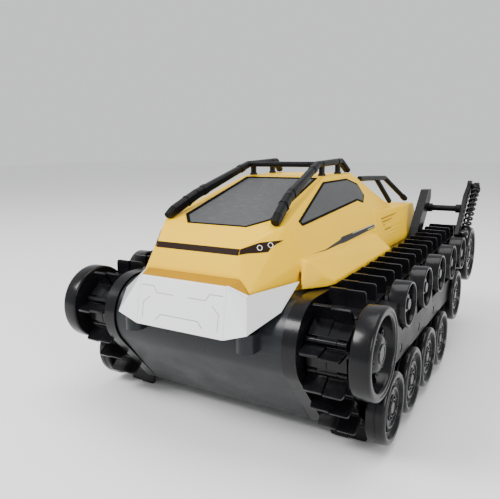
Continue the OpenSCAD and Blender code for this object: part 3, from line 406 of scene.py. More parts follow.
def drive(name, side, r=28.4):
    sg, c = PLACES[name]
    prof = [(HUB_REACH, AXLE_BORE), (HUB_REACH, 13.4), (0, 13.4), (0, r - 1.4)]
    prof += arc_profile(1.4, r - 1.4, 1.4, 180, 90, 3)[1:]
    prof += arc_profile(10.2, r - 2.2, 2.2, 90, 0, 5)
    prof += [(12.4, r - 3.0), (11.9, r - 3.5), (11.9, r - 5.3), (11.2, r - 5.9), (10.2, r - 6.1),
             (4.2, r - 7.2), (3.0, r - 8.0), (3.0, AXLE_BORE)]
    bm = bmesh.new()
    lathe_into(bm, prof, c, DISC, sg, 128)
    for k in range(12):
        spoke_into(bm, c, 30 * k + 15, (17.6, 0.5), (21.2, 0.5), sg * (DISC + 2.6), sg * (DISC + 6.0))
    finish_mesh("v_" + name, bm, "black_gloss", "drive_" + side, bevel=0.2, segments=2, angle=38,
                replaces=name, slot="black_gloss")
    # hub cap with six bolt wells and a raised nose
    bm = bmesh.new()
    x0 = DISC + 3.0
    prof = [(0, AXLE_BORE), (0, 17.0), (1.2, 17.0), (1.9, 16.5), (2.3, 15.4), (2.3, 14.4)]
    prof += [(3.4, 13.4), (5.6, 11.6), (6.9, 9.6), (7.4, 8.0), (7.0, 7.2), (7.0, 6.2), (7.9, 5.6), (7.9, 4.6),
             (6.4, 4.3), (6.4, AXLE_BORE)]
    lathe_into(bm, prof, c, x0, sg, 96)
    for k in range(6):
        a = math.radians(60 * k + 8)
        cy, cz = c[0] + 12.2 * math.cos(a), c[1] + 12.2 * math.sin(a)
        well = [(2.4, 0.9), (2.4, 2.0), (5.9, 2.0), (6.1, 1.7), (6.1, 1.2), (4.4, 0.9)]
        lathe_into(bm, well, (cy, cz), x0, sg, 24)
        spoke_into(bm, c, 60 * k + 38, (8.4, 1.3), (15.8, 2.2), sg * (x0 + 1.6), sg * (x0 + 4.6))
    finish_mesh("v_hub_cap_" + side, bm, "black_gloss", "drive_" + side, bevel=0.16, segments=2, angle=35,
                replaces="hub_cap_" + side, slot="black_gloss")


for n in PLACES:
    if n.startswith("road_wheel"):
        road_wheel(n)
    elif n.startswith("idler_wheel"):
        road_wheel(n, 28.2, 13.39, 16.4)
    elif n.startswith("return_roller"):
        roller(n)
for s, sg in SIDES:
    drive("drive_wheel_" + s, s)


# ---------- body pieces ----------
LIP_TOP = cab(32.5, -167.1, 30.6)
LIP_LOW = cab(31.9, -167.6, 27.2)
NOSE_FRONT = cab(36.2, -173.5, 14.2)
CHIN = cab(42.6, -173.8, 4.6)
BROW = cab(49, -137, 42.5)
HULLS = [
    both([LIP_TOP, LIP_LOW, NOSE_FRONT, CHIN, cab(42.6, -169, 0), cab(60, -131, 0), cab(60, -131, 19.5), BROW,
          cab(25, -147.5, 39.7), cab(60, -100, 0), cab(60, -100, 19.5), cab(49, -100, 42.5)]),
    both([BROW, cab(25, -147.5, 39.7), cab(38.5, -133, 43.8), cab(36.5, -46, 68.5), cab(36.5, 14, 68.5),
          cab(60, -131, 0), cab(60, -131, 19.5), cab(54, 30, 33.5), cab(60, 30, 19.5), cab(60, 30, 0),
          cab(42, 116, 30), cab(46, 116, 0)]),
    both([cab(55, 26, 34), cab(58, 150, 30.5), cab(61, 22, 18), cab(61, 146, 16), cab(66, 2, 4),
          cab(66, 142, 4), cab(66, 2, 0), cab(66, 140, 0), cab(60, 150, 0), cab(60, 150, 14)]),
]
SKIRT = [cab(58, -134, 20), cab(62.5, -134.5, 19.8), cab(76, -119, 5), cab(76, -119, 2.2), cab(62, -142, 2.2),
         cab(68.5, -134, 2.2), cab(73.5, -127, 2.2), cab(71.5, -128.5, 9),
         cab(58, 8, 17), cab(62.5, 8, 17), cab(76, 8, 5.5), cab(76, 8, 2.2), cab(58, 8, 2.2)]
HULLS += [SKIRT, [(-x, y, z) for x, y, z in SKIRT]]


def unite(tools, operation):
    first = tools[0]
    for t in tools[1:]:
        m = first.modifiers.new("u", "BOOLEAN")
        m.operation = operation
        m.solver = "EXACT"
        m.object = t
    bpy.context.view_layer.update()
    me = bpy.data.meshes.new_from_object(first.evaluated_get(bpy.context.evaluated_depsgraph_get()))
    first.modifiers.clear()
    first.data = me
    for t in tools[1:]:
        bpy.data.objects.remove(t, do_unlink=True)
    return first


def shell_tool(scale=None):
    out = []
    for points in HULLS:
        if scale:
            points = [(x * scale[0], y * scale[1], DECK - 0.6 + (z - DECK) * scale[2]) for x, y, z in points]
        out.append(tool_mesh(lambda bm, p=points: hull_into(bm, p)))
    return unite(out, "UNION")


# louvres in the rear block: height over the deck, length
LOUVRES = ((25.6, 62), (22.6, 60), (19.6, 57), (15.4, 53), (12.2, 48), (9.0, 43))
LOUVRE_Y, LOUVRE_H = 36, 1.3
KINK_Z = 17
TAIL_UPPER_OUT, TAIL_LOWER_OUT = (0.958, 0, 0.287), (0.933, 0, 0.359)


def tail_x(z, upper):
    """half width of the rear block at height z, above or below the kink in its flank"""
    return 56.2 + (33 - z) * 0.30 if upper else 61 + (17 - z) * 0.385


def cab_body():
    """hollow shell with moulded, rounded edges and cut louvres"""
    o = shell_tool()
    inner = shell_tool((0.957, 0.984, 0.962))
    cutters = [inner]
    for z, length in LOUVRES:
        x = tail_x(z, z > KINK_Z) - 1.0
        foot, top, end = DECK + z, DECK + z + LOUVRE_H, LOUVRE_Y + length
        outline = [(LOUVRE_Y, foot), (end, foot), (end - 1.2, top), (LOUVRE_Y, top)]
        for sg in (1, -1):
            a, b = sorted((sg * x, sg * (x + 6)))
            cutters.append(tool_mesh(lambda bm, a=a, b=b, o=outline: prism_into(bm, o, a, b)))
    o = unite([o] + cutters, "DIFFERENCE")
    o.name = "v_cab_shell"
    o.data.name = "v_cab_shell"
    r = o.modifiers.new("remesh", "REMESH")
    r.mode = "VOXEL"
    r.voxel_size = 0.00075
    r.use_smooth_shade = True
    sm = o.modifiers.new("smooth", "SMOOTH")
    sm.factor = 0.5
    sm.iterations = 5
    o.data.materials.clear()
    o.data.materials.append(M["yellow_shell"])
    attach(o, "chassis")
    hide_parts("cab_shell")
    return o


def inset(outline, d):
    """outline moved towards its own middle, edge by edge (d in mm, one value or one for each edge)"""
    pts = [Vector(p) for p in outline]
    n = len(pts)
    nrm = normal_of(outline)
    ds = d if isinstance(d, (list, tuple)) else [d] * n
    out = []
    for i in range(n):
        a, b, c = pts[i - 1], pts[i], pts[(i + 1) % n]
        e0, e1 = (b - a).normalized(), (c - b).normalized()
        n0, n1 = nrm.cross(e0), nrm.cross(e1)
        d0, d1 = ds[i - 1], ds[i]
        m = n0.dot(n1)
        det = 1 - m * m
        if det < 1e-5:
            out.append(tuple(b + n1 * d1))
            continue
        out.append(tuple(b + n0 * ((d0 - d1 * m) / det) + n1 * ((d1 - d0 * m) / det)))
    return out


def normal_of(outline):
    pts = [Vector(p) for p in outline]
    nrm = Vector()
    for i in range(len(pts)):
        nrm += pts[i].cross(pts[(i + 1) % len(pts)])
    return nrm.normalized()


def plate(name, outline, back, front, mat, slot, bevel=0.15, replaces=None, out_dir=None,
          mirror=True):
    """plate over a flat outline, from back to front millimetres along its outward direction"""
    nrm = normal_of(outline)
    if out_dir and nrm.dot(Vector(out_dir)) < 0:
        nrm = -nrm
    bm = bmesh.new()
    base = [Vector(p) + nrm * back for p in outline]
    slab_into(bm, base, nrm * (front - back))
    if mirror:
        slab_into(bm, [(-p.x, p.y, p.z) for p in base], Vector((-nrm.x, nrm.y, nrm.z)) * (front - back))
    return finish_mesh(name, bm, mat, "chassis", bevel=bevel, segments=2, angle=30, replaces=replaces,
                       slot=slot)


def line_on(bm, points, width, nrm, front, back=-0.3):
    """thin raised line along points on a plane with outward direction nrm"""
    nrm = Vector(nrm).normalized()
    for a, b in zip(points, points[1:]):
        a, b = Vector(a), Vector(b)
        e = (b - a).normalized()
        t = nrm.cross(e).normalized() * width / 2
        a, b = a - e * width / 2, b + e * width / 2
        slab_into(bm, [a + t + nrm * back, b + t + nrm * back, b - t + nrm * back, a - t + nrm * back],
                  nrm * (front - back))


cab_body()

# windscreen: gasket, stepped black border and matte glass
RISE = (68.5 - 39.7) / (147.5 - 46)


def screen_pt(x, y):
    return cab(x, y, 39.7 + (y + 147.5) * RISE)


SCREEN = [screen_pt(x, y)
          for x, y in ((-24, -145), (24, -145), (36, -131), (32.5, -50), (-32.5, -50), (-36, -131))]
plate("v_windscreen_gasket", SCREEN, -0.8, 0.28, "gasket", "dark_glass", bevel=0.2, out_dir=(0, -1, 1),
      mirror=False)
plate("v_windscreen", inset(SCREEN, [1.5, 1.7, 2.0, 4.4, 4.6, 2.4]), -0.6, 0.5, "dark_glass", "dark_glass",
      bevel=0.22, replaces="windshield", out_dir=(0, -1, 1), mirror=False)
bm = bmesh.new()
sn = normal_of(SCREEN)
sn = sn if sn.z > 0 else -sn
PILLAR = ((-31, -52.5), (-30.2, -70), (-31.4, -74), (-33.4, -124))
line_on(bm, [screen_pt(x, y) for x, y in PILLAR], 1.6, sn, 0.62)
line_on(bm, [screen_pt(30, -53), screen_pt(-29, -53)], 1.5, sn, 0.62)
finish_mesh("v_windscreen_border", bm, "gasket", "chassis", bevel=0.12, segments=1, slot="dark_glass")


def side_pt(y, z):
    return cab(60 - 23.5 * (z - 19.5) / 49, y, z)


SIDE_GLASS = [side_pt(-119, 42.5), side_pt(-116, 39), side_pt(0, 45.5), side_pt(11, 42.5), side_pt(21, 48.5),
              side_pt(16, 59), side_pt(-4, 64.5), side_pt(-54, 64.5)]
SIDE_OUT = Vector((49, 0, 23.5)).normalized()
plate("v_side_gaskets", SIDE_GLASS, -0.8, 0.55, "gasket", "dark_glass", bevel=0.2, out_dir=(1, 0, 0.4))
plate("v_side_glass", inset(SIDE_GLASS, 1.7), -0.6, 0.75, "dark_glass", "dark_glass", bevel=0.22,
      replaces="side_windows", out_dir=(1, 0, 0.4))

# decal stripe, light lines and marks on both flanks
bm = bmesh.new()
bl = bmesh.new()
STRIPE = [(-119, 21.2), (-97, 19.9), (-70, 20.2), (-60, 19.8), (31, 21.6), (38, 22.3), (34, 25.6),
          (-30, 26.2), (-49, 27.6), (-67, 22.8), (-96, 20.6)]
for sg in (1, -1):
    def onto(y, z, sg=sg):
        x, yy, zz = side_pt(y, z)
        return Vector((sg * x, yy, zz))
    nrm = Vector((sg * SIDE_OUT.x, 0, SIDE_OUT.z))
    slab_into(bm, [onto(*p) - nrm * 0.4 for p in STRIPE], nrm * 0.62)
    for row, (y0, y1) in enumerate(((-44, -20), (-41, -14), (-36, -9))):
        line_on(bm, [onto(y0, 28.6 + row * 1.5), onto(y1, 28.6 + row * 1.5)], 0.7, nrm, 0.2)
    for k in range(5):
        y = -24 + k * 3.4
        line_on(bm, [onto(y, 34), onto(y + 1.8, 34)], 2.0, nrm, 0.2)
    line_on(bl, [onto(-38.7, 23.6), onto(26.7, 23.9)], 0.55, nrm, 0.34)
    line_on(bl, [onto(-4, 21.9), onto(18.9, 22.2)], 0.5, nrm, 0.34)
    rear = Vector((sg * TAIL_UPPER_OUT[0], 0, TAIL_UPPER_OUT[2]))
    for y0 in (108, 115, 122):
        def deckpt(y, z, sg=sg):
            return Vector((sg * tail_x(z, True), y, DECK + z))
        line_on(bm, [deckpt(y0, 27.5), deckpt(y0 + 4, 22.5)], 1.5, rear, 0.2)
# louvre strips in the slots of the yellow shell, coloured darker tan as painted shade inside the slots
bt = bmesh.new()
for sg in (1, -1):
    for z, length in LOUVRES:
        upper = z > KINK_Z
        nx, ny, nz = TAIL_UPPER_OUT if upper else TAIL_LOWER_OUT
        middle = z + LOUVRE_H / 2
        x = sg * tail_x(middle, upper)
        ends = [Vector((x, y, DECK + middle)) for y in (LOUVRE_Y + 1, LOUVRE_Y - 1 + length)]
        line_on(bt, ends, LOUVRE_H, Vector((sg * nx, ny, nz)), 0.3, -1.2)
finish_mesh("v_louvres", bt, "louvre_tan", "chassis", slot="yellow_shell", keep_flat=True)
finish_mesh("v_decals", bm, "decal", "chassis", slot="dark_glass", keep_flat=True)
finish_mesh("v_decal_lines", bl, "decal_light", "chassis", slot="silver_bumper", keep_flat=True)

# lamp strip across the nose with a wing and two ring lamps in each cheek
NOSE_OUT = normal_of([LIP_TOP, (-LIP_TOP[0], LIP_TOP[1], LIP_TOP[2]),
                      (-NOSE_FRONT[0], NOSE_FRONT[1], NOSE_FRONT[2]), NOSE_FRONT])
NOSE_OUT = NOSE_OUT if NOSE_OUT.y < 0 else -NOSE_OUT


def nose_pt(x, z):
    t = (LIP_TOP[2] - z) / (LIP_TOP[2] - NOSE_FRONT[2])
    return (x, LIP_TOP[1] + t * (NOSE_FRONT[1] - LIP_TOP[1]), z)


WING_OUT = (Vector(CHIN) - Vector(LIP_TOP)).cross(Vector(BROW) - Vector(LIP_TOP)).normalized()


def on_wing(x, y, z):
    p = Vector(cab(x, y, z))
    return tuple(p - WING_OUT * (p - Vector(LIP_TOP)).dot(WING_OUT))


bm = bmesh.new()
zt, zl = LIP_TOP[2] - 0.2, LIP_LOW[2] - 0.7
STRIP = ((-32.4, zl), (32.4, zl), (32.7, zt), (-32.7, zt))
slab_into(bm, [Vector(nose_pt(x, z)) - NOSE_OUT * 0.8 for x, z in STRIP], NOSE_OUT * 1.0)
WING = [on_wing(32.8, -166.8, 30.3), on_wing(32.4, -168.2, 26.7), on_wing(36.4, -163.6, 27.2),
        on_wing(42, -157.6, 27.3), on_wing(44.8, -153.4, 27.2), on_wing(45.6, -150.6, 29.9),
        on_wing(50, -142.4, 33.6), on_wing(40, -155.4, 33.2)]
for sg in (1, -1):
    w = Vector((sg * WING_OUT.x, WING_OUT.y, WING_OUT.z))
    slab_into(bm, [Vector((sg * x, y, z)) - w * 0.8 for x, y, z in WING], w * 1.0)
finish_mesh("v_lamp_strip", bm, "lamp_strip", "chassis", bevel=0.15, segments=2, replaces="light_strip",
            slot="lamp_strip")


def ring_lamp(bm, p, w, r0, r1, h):
    z = Vector((0, 0, 1))
    u = w.cross(z).normalized()
    v = w.cross(u)
    n = 28
    prof = [(r0, -0.4), (r0, h * 0.7), ((r0 + r1) / 2, h), (r1, h * 0.7), (r1, -0.4)]
    rings = []
    for k in range(n):
        a = 2 * math.pi * k / n
        d = u * math.cos(a) + v * math.sin(a)
        rings.append([bm.verts.new(p + d * r + w * q) for r, q in prof])
    skin_rings(bm, rings)


bm = bmesh.new()
for sg in (1, -1):
    w = Vector((sg * WING_OUT.x, WING_OUT.y, WING_OUT.z))
    for q in (on_wing(40.7, -156.9, 30.1), on_wing(45, -150.7, 31.2)):
        p = Vector((sg * q[0], q[1], q[2])) + w * 0.2
        ring_lamp(bm, p, w, 1.42, 1.8, 0.35)
finish_mesh("v_ring_lamps", bm, "lamp", "chassis", replaces="headlight_leds", slot="lamp")


# bumper: near-white face, chamfered side bands, notched corners, wings and thin panel lines
def bp(x, y, z):
    return Vector((x, y, DECK + z))


FACE_TL, FACE_BL = bp(33.7, -183.8, 10.2), bp(50.4, -189.4, -15.6)
FACE_NOTCH, FACE_LOW = bp(39.5, -188.6, -17.5), bp(33.7, -190.2, -21)
WING_LOW, WING_HIGH, WING_NECK = bp(62, -168.5, -5.2), bp(61.4, -142, 7.6), bp(43.2, -177.2, 4.2)


def flip(p):
    return Vector((-p.x, p.y, p.z))


BOSS_X, BOSS_Y, BOSS_FOOT = 44.4, -180.15, -17
BOSS_PROFILE = [(0, 0.2), (0, 4.4), (0.8, 5.0), (7.6, 5.0), (8.0, 4.6), (8.0, 0.2)]


def boss_into(bm, x, y, z, segs=40):
    """upright round boss on its foot's middle; the profile is (height, radius)"""
    rings = []
    for k in range(segs):
        a = 2 * math.pi * k / segs
        rings.append([bm.verts.new((x + r * math.cos(a), y + r * math.sin(a), z + h))
                      for h, r in BOSS_PROFILE])
    skin_rings(bm, rings)


def plate_hull(name, points, back, mat, bevel, **kw):
    pts = [tuple(p) for p in points] + [tuple(Vector(p) + Vector(back)) for p in points]
    return hull_piece(name, pts, mat, "chassis", bevel=bevel, segments=3, angle=20, slot="silver_bumper",
                      **kw)


plate_hull("v_bumper_face", [FACE_TL, FACE_LOW, flip(FACE_TL), flip(FACE_LOW)], (0, 2.6, 0), "silver_bumper",
           0.5, replaces="front_bumper")
for s_, m_ in (("left", lambda p: p), ("right", flip)):
    sgx = 1 if s_ == "left" else -1
    plate_hull("v_bumper_band_" + s_, [m_(p) for p in (FACE_TL, FACE_LOW, FACE_NOTCH, FACE_BL)], (0, 2.5, 0),
               "silver_bumper", 0.45)
    plate_hull("v_bumper_cheek_" + s_, [m_(p) for p in (FACE_TL, FACE_BL, WING_NECK)], (-1.0 * sgx, 2.6, 0),
               "silver_bumper", 0.4)
    plate_hull("v_bumper_wing_" + s_, [m_(p) for p in (WING_NECK, FACE_BL, WING_LOW, WING_HIGH)],
               (-1.3 * sgx, 1.3, 0), "bumper_wing", 0.4)
    bm = bmesh.new()
    boss_into(bm, sgx * BOSS_X, BOSS_Y, DECK + BOSS_FOOT)
    finish_mesh("v_bumper_boss_" + s_, bm, "black_satin", "chassis", slot="black_satin")


def face_pt(x, z):
    t = (FACE_TL.z - (DECK + z)) / (FACE_TL.z - FACE_LOW.z)
    return Vector((x, FACE_TL.y + t * (FACE_LOW.y - FACE_TL.y), DECK + z))


face_n = normal_of([face_pt(-10, 5), face_pt(10, 5), face_pt(10, -15), face_pt(-10, -15)])
face_n = face_n if face_n.y < 0 else -face_n
bm = bmesh.new()
for sg in (1, -1):
    for seam in (((31.5, 4.6), (22, 4.6), (19, 0.6), (6, 0.6)), ((29.5, -16.5), (29.5, -6.4), (24.5, -2.2))):
        line_on(bm, [face_pt(sg * x, z) for x, z in seam], 0.4, face_n, 0.05)
LOW_SEAM = ((-18, -16.2), (-14.5, -12.6), (14.5, -12.6), (18, -16.2))
line_on(bm, [face_pt(x, z) for x, z in LOW_SEAM], 0.45, face_n, 0.05)
finish_mesh("v_bumper_lines", bm, "bumper_line", "chassis", slot="silver_bumper", keep_flat=True)


# ledge between the nose and the top edge of the bumper, yellow coloured darker tan as painted shade
hull_piece("v_nose_ledge", both([cab(33.4, -182.4, 9.3), cab(36.2, -172.4, 13.6), cab(33.4, -182.4, 7.4),
                                 cab(36.2, -172.4, 11.4), cab(43.6, -176.6, 4.6), cab(42.6, -172.4, 4.8),
                                 cab(43.0, -176.6, 3.0), cab(42.6, -172.4, 3.0)]),
           "louvre_tan", "chassis", bevel=0.3, segments=2, angle=20, slot="yellow_shell")
bm = bmesh.new()
for sg in (1, -1):
    a, b = Vector(cab(sg * 33.9, -183.0, 10.3)), Vector(cab(sg * 43.4, -176.9, 4.4))
    line_on(bm, [a, b], 1.3, Vector((sg * 0.4, -0.5, 0.8)), 0.3, -0.6)
finish_mesh("v_ledge_edges", bm, "silver_bumper", "chassis", slot="silver_bumper")


# ---------- tracks: glossy half plates with a mid seam, knuckles and two staggered rounded lugs ----------
TRACK_IN, TRACK_W = 77.6, 25.4


def islands(o):
    """middle point of every loose part of a node, in millimetres"""
    me = o.data
    parent = list(range(len(me.vertices)))

    def root(i):
        while parent[i] != i:
            parent[i] = parent[parent[i]]
            i = parent[i]
        return i

    w = o.matrix_world
    seen = {}
    for v in me.vertices:
        k = tuple(round(c * 1e6) for c in v.co)
        if k in seen:
            parent[root(v.index)] = root(seen[k])
        else:
            seen[k] = v.index
    for e in me.edges:
        parent[root(e.vertices[0])] = root(e.vertices[1])
    groups = {}
    for v in me.vertices:
        groups.setdefault(root(v.index), []).append(w @ v.co)
    out = []
    for pts in groups.values():
        lo = Vector([min(p[i] for p in pts) for i in range(3)])
        hi = Vector([max(p[i] for p in pts) for i in range(3)])
        out.append((lo + hi) / 2 / MM)
    return out


def pin_loop():
    pins = [(p.y, p.z) for p in islands(frame["nodes"]["track_pins"]) if p.x > 0]
    order = [min(pins, key=lambda p: (p[1], p[0]))]
    left = [p for p in pins if p != order[0]]
    while left:
        a = order[-1]
        q = sorted(left, key=lambda p: math.hypot(p[0] - a[0], p[1] - a[1]))
        if len(order) == 1:
            q = [max(q[:2], key=lambda p: p[0])]
        order.append(q[0])
        left.remove(q[0])
    return order


PIN_LOOP = pin_loop()


def link_into(bm, sg, a, b):
    a, b = Vector(a), Vector(b)
    e = (b - a).normalized()
    n = Vector((e.y, -e.x))
    chord = (b - a).length

    def at(u, h):
        p = a + e * u + n * h
        return (p.x, p.y)

    def prism(outline, x0, x1):
        prism_into(bm, [at(u, h) for u, h in outline], sg * (TRACK_IN + x0), sg * (TRACK_IN + x1))

    lo, hi = 2.4, chord - 2.4
    for x0, x1 in ((0.0, 12.5), (12.9, TRACK_W)):
        top = [(lo + (hi - lo) * k / 6, 1.5 + 0.45 * math.sin(math.pi * k / 6)) for k in range(7)]
        prism(top + [(hi, -1.5), (lo, -1.5)], x0, x1)
    prism([(lo + 0.4, -1.4), (hi - 0.4, -1.4), (hi - 0.4, 1.2), (lo + 0.4, 1.2)], 12.3, 13.1)
    for c, spans in ((0, ((0, 6), (TRACK_W - 6, TRACK_W))), (chord, ((6.3, TRACK_W - 6.3),))):
        ring = [(c + 1.88 * math.cos(t * math.pi / 9), 1.88 * math.sin(t * math.pi / 9)) for t in range(18)]
        for x0, x1 in spans:
            prism(ring, x0, x1)
            u0, u1 = (c - 2.9, c) if c else (0, 2.9)
            prism([(u0, -1.0), (u1, -1.0), (u1, 1.1), (u0, 1.1)], x0, x1)
    half = TRACK_W / 2 - 0.12
    for k, x0 in ((0, 0.0), (1, TRACK_W - half)):
        u0 = 2.4 + k * 1.2
        rows = []
        for h, grow in ((1.2, 0.25), (2.0, 0.0), (9.6, 0.0), (11.6, 0.4), (12.6, 1.2), (13.0, 2.4)):
            taper = 0.35 * (h / 13.0)
            crop = grow * 0.75 if h > 9 else 0.0
            x_lo, x_hi = (x0 + crop, x0 + half) if k == 0 else (x0, x0 + half - crop)
            wide = 0.35 if h < 1.5 else 0.0
            near, far = u0 + taper - wide, u0 + 2.4 - taper + wide
            rows.append([(x_lo, near, h), (x_hi, near, h), (x_hi, far, h), (x_lo, far, h)])
        vs = []
        for row in rows:
            line = []
            for x, u, h in row:
                y, z = at(u, h)
                line.append(bm.verts.new((sg * (TRACK_IN + x), y, z)))
            vs.append(line)
        bm.faces.new(vs[0])
        bm.faces.new(list(reversed(vs[-1])))
        for r0, r1 in zip(vs, vs[1:]):
            for i in range(4):
                j = (i + 1) % 4
                bm.faces.new((r0[i], r1[i], r1[j], r0[j]))
    # small tab at the outer foot of the lug
    prism([(3.0, -1.2), (7.4, -1.2), (7.4, 1.9), (3.0, 1.9)], TRACK_W - 0.6, TRACK_W + 1.3)


for s, sg in SIDES:
    bm = bmesh.new()
    for i in range(len(PIN_LOOP)):
        link_into(bm, sg, PIN_LOOP[i], PIN_LOOP[(i + 1) % len(PIN_LOOP)])
    finish_mesh("v_track_links_" + s, bm, "black_gloss", "chassis", bevel=0.28, segments=2, angle=32,
                replaces="track_links_" + s, slot="black_gloss")


# roof rails and rear bars: rounded bars with clamp sleeves
def bar_into(bm, p, q, w, h0, h1):
    p, q = Vector(p), Vector(q)
    d = (q - p).normalized()
    side = Vector((0, 1, 0)) if abs(d.x) > 0.9 else Vector((1, 0, 0))
    up = side.cross(d).normalized()
    pts = []
    for e, h in ((p, h0), (q, h1)):
        c = min(w, h) * 0.26
        for a, b in ((-1, -1), (-1, 1), (1, -1), (1, 1)):
            pts.append(tuple(e + side * a * (w / 2 - c) + up * b * h / 2))
            pts.append(tuple(e + side * a * w / 2 + up * b * (h / 2 - c)))
    verts = [bm.verts.new(v) for v in pts]
    bmesh.ops.convex_hull(bm, input=verts)


RAIL = [cab(43.6, -142, 43.9), cab(42.8, -136.5, 47), cab(38.7, -114, 57.3), cab(31.4, -48.5, 77.8),
        cab(31.6, 0, 79.2), cab(33.4, 12, 70.6)]
RAIL_H = [5, 7.6, 7.4, 5, 4.96, 4.4]
ROLL = [cab(35, 40, 61.8), cab(35.6, 60, 61.2), cab(37, 112, 58.8), cab(51, 144, 34.6)]


def mid(a, b, t):
    return tuple(Vector(a).lerp(Vector(b), t))


bm = bmesh.new()
br = bmesh.new()
for sg in (1, -1):
    R = [(sg * x, y, z) for x, y, z in RAIL]
    for i in range(5):
        bar_into(bm, R[i], R[i + 1], 6.0, RAIL_H[i], RAIL_H[i + 1])
    for i, t, w, h in ((1, 0.55, 7.2, 8.4), (2, 0.10, 7.0, 7.8), (2, 0.80, 7.0, 6.2), (3, 0.12, 6.8, 4.96),
                       (3, 0.80, 6.8, 4.96)):
        bar_into(bm, mid(R[i], R[i + 1], t), mid(R[i], R[i + 1], t + 0.07), w, h, h)
    for y in (-40, -6):
        bar_into(bm, (sg * 31.6, y, DECK + 68.5), (sg * 31.6, y, DECK + 78), 4, 5, 5)
        bar_into(bm, (sg * 31.6, y, DECK + 68.3), (sg * 31.6, y, DECK + 70.2), 5.4, 6.6, 6.0)
    Q = [(sg * x, y, z) for x, y, z in ROLL]
    for i in range(3):
        bar_into(br, Q[i], Q[i + 1], 4.6, 5, 5)
    bar_into(br, (sg * 36, 86, DECK + 60), (sg * 43, 112, DECK + 34.5), 4.2, 5, 5)
    bar_into(br, mid(Q[2], Q[3], 0.86), mid(Q[2], Q[3], 0.98), 5.6, 6.0, 6.0)
bar_into(bm, (-RAIL[3][0], RAIL[3][1], RAIL[3][2]), RAIL[3], 4, 4.4, 4.4)
for bars, label, replaced in ((bm, "v_roof_rails", "roof_rails"), (br, "v_rear_bars", "rear_roll_bars")):
    finish_mesh(label, bars, "black_satin", "chassis", bevel=0.35, segments=2, angle=25, replaces=replaced,
                slot="black_satin")


# ---------- carried-over nodes: weld, soft edges and their own finish ----------
DARK = ("shock_springs", "shock_rods", "wheel_axles", "case_screws", "drive_axle_left", "drive_axle_right")


# the strut's axis: side offset and its ends as (y, height over the deck)
STRUT_X, STRUT_ENDS = 116.9, ((123.908, 4.0), (182.408, 47.6))


def spring_coil(sg, lo, hi, wire=1.1, coil=3.45, turns=8):
    """coil spring beside the rear tower, between the two ends that the node's box gives"""
    x = sg * STRUT_X
    foot, head = (Vector((x, y, DECK + z)) for y, z in STRUT_ENDS)
    d = (head - foot).normalized()
    side = Vector((1, 0, 0))
    up = d.cross(side)
    steps, ring = turns * 20, 8
    t0 = (lo - foot.z) / (head.z - foot.z) * (head - foot).length + 2.2
    t1 = (hi - foot.z) / (head.z - foot.z) * (head - foot).length - 2.2
    rows = []
    bm = bmesh.new()
    for k in range(steps + 1):
        a = 2 * math.pi * turns * k / steps
        out = side * math.cos(a) + up * math.sin(a)
        c = foot + d * (t0 + (t1 - t0) * k / steps) + out * coil
        rows.append([bm.verts.new(c + (out * math.cos(b) + d * math.sin(b)) * wire)
                     for b in (2 * math.pi * q / ring for q in range(ring))])
    for r0, r1 in zip(rows, rows[1:]):
        for q in range(ring):
            p = (q + 1) % ring
            bm.faces.new((r0[q], r0[p], r1[p], r1[q]))
    bm.faces.new(rows[0])
    bm.faces.new(list(reversed(rows[-1])))
    return bm


def refine(name, mat, bevel, angle=28):
    """copy of a node's mesh with merged faces, smooth arcs and rounded edges"""
    o = frame["nodes"][name]
    bm = bmesh.new()
    bm.from_mesh(o.data)
    bm.transform(Matrix.Scale(1000, 4) @ o.matrix_world)
    bmesh.ops.remove_doubles(bm, verts=bm.verts, dist=0.02)
    bmesh.ops.dissolve_limit(bm, angle_limit=math.radians(1.0), verts=bm.verts, edges=bm.edges)
    return finish_mesh("v_" + name, bm, mat, "chassis", bevel=bevel, segments=3, angle=angle, replaces=name,
                       slot=SLOTS.get(name))


def dress(name, bevel=0.25, segments=2, angle=32):
    o = frame["nodes"][name]
    slot = "dark_metal" if name in DARK else SLOTS.get(name, "black_satin")
    o.data.materials.clear()
    o.data.materials.append(M[slot if slot in M else "black_satin"])
    for s in o.material_slots:
        s.material = M[slot if slot in M else "black_satin"]
    if bevel:
        w = o.modifiers.new("weld", "WELD")
        w.merge_threshold = 0.00002
        b = o.modifiers.new("bevel", "BEVEL")
        b.width = bevel * MM
        b.segments = segments
        b.limit_method = "ANGLE"
        b.angle_limit = math.radians(angle)
        b.harden_normals = True


for s, _ in SIDES:
    refine("side_frame_" + s, "black_gloss", 0.45)
    refine("outer_frame_" + s, "black_satin", 0.4)
    refine("rear_tower_" + s, "black_satin", 0.4)
refine("chassis_tub", "chassis_grey", 0.35)
low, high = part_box("shock_springs")
for s, sg in SIDES:
    finish_mesh("v_spring_" + s, spring_coil(sg, low[2] / MM, high[2] / MM), "dark_metal", "chassis",
                replaces="shock_springs", slot="steel")
SMALL = ("track_pins", "wheel_axles", "case_screws", "headlight_leds", "power_switch")
WIDE = ("track_links", "outer_frame", "side_frame", "rear_tower")
for n in frame["nodes"]:
    usual = 0.1 if n in SMALL else 0.45 if n.startswith(WIDE) else 0.3
    dress(n, bevel=0.0 if n == "shock_springs" else usual)


# ---------- camera and light ----------
# the camera's direction and roll in degrees, its place in metres and its lens in millimetres
AZIMUTH, ELEVATION, ROLL = 30.91, 10.86, -0.66
CAMERA_AT, LENS = (0.20222, -0.43823, 0.19233), 38.27


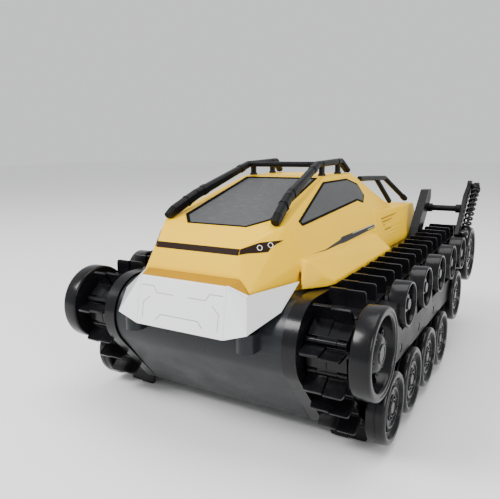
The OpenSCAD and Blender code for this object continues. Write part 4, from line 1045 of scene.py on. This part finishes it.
def setup_camera():
    az = math.radians(AZIMUTH)
    el = math.radians(ELEVATION)
    back = Vector((math.sin(az) * math.cos(el), -math.cos(az) * math.cos(el), math.sin(el)))
    right = Vector((math.cos(az), math.sin(az), 0))
    up = back.cross(right)
    m = Matrix((right, up, back)).transposed().to_4x4()
    m = Matrix.Translation(CAMERA_AT) @ m @ Matrix.Rotation(math.radians(ROLL), 4, "Z")
    cam = bpy.data.cameras.new("cam")
    cam.sensor_width = 36
    cam.lens = LENS
    o = bpy.data.objects.new("cam", cam)
    bpy.context.scene.collection.objects.link(o)
    o.matrix_world = m
    bpy.context.scene.camera = o


def area(name, loc, target, size, power, size_y=None, colour=(1, 1, 1)):
    l = bpy.data.lights.new(name, "AREA")
    l.size = size
    if size_y:
        l.shape = "RECTANGLE"
        l.size_y = size_y
    l.energy = power
    l.color = colour
    o = bpy.data.objects.new(name, l)
    bpy.context.scene.collection.objects.link(o)
    o.location = loc
    o.rotation_euler = (Vector(target) - Vector(loc)).to_track_quat("-Z", "Y").to_euler()


def setup_stage():
    bm = bmesh.new()
    bmesh.ops.create_grid(bm, x_segments=1, y_segments=1, size=6)
    me = bpy.data.meshes.new("floor")
    bm.to_mesh(me)
    bm.free()
    floor = bpy.data.objects.new("floor", me)
    bpy.context.scene.collection.objects.link(floor)
    m = bpy.data.materials.new("floor")
    m.use_nodes = True
    bs = m.node_tree.nodes["Principled BSDF"]
    bs.inputs["Base Color"].default_value = (0.93, 0.93, 0.92, 1)
    bs.inputs["Roughness"].default_value = 0.55
    me.materials.append(m)
    w = bpy.data.worlds.new("world")
    bpy.context.scene.world = w
    w.use_nodes = True
    w.node_tree.nodes["Background"].inputs["Color"].default_value = (0.95, 0.96, 0.97, 1)
    w.node_tree.nodes["Background"].inputs["Strength"].default_value = 0.9
    area("key", (-0.75, -1.0, 1.2), (0, -0.05, 0.08), 0.55, 26)
    area("top", (0.2, 0.1, 1.5), (0, 0, 0.1), 1.0, 14)
    area("side", (1.3, -0.6, 0.6), (0, 0, 0.1), 0.5, 8)


setup_camera()
setup_stage()
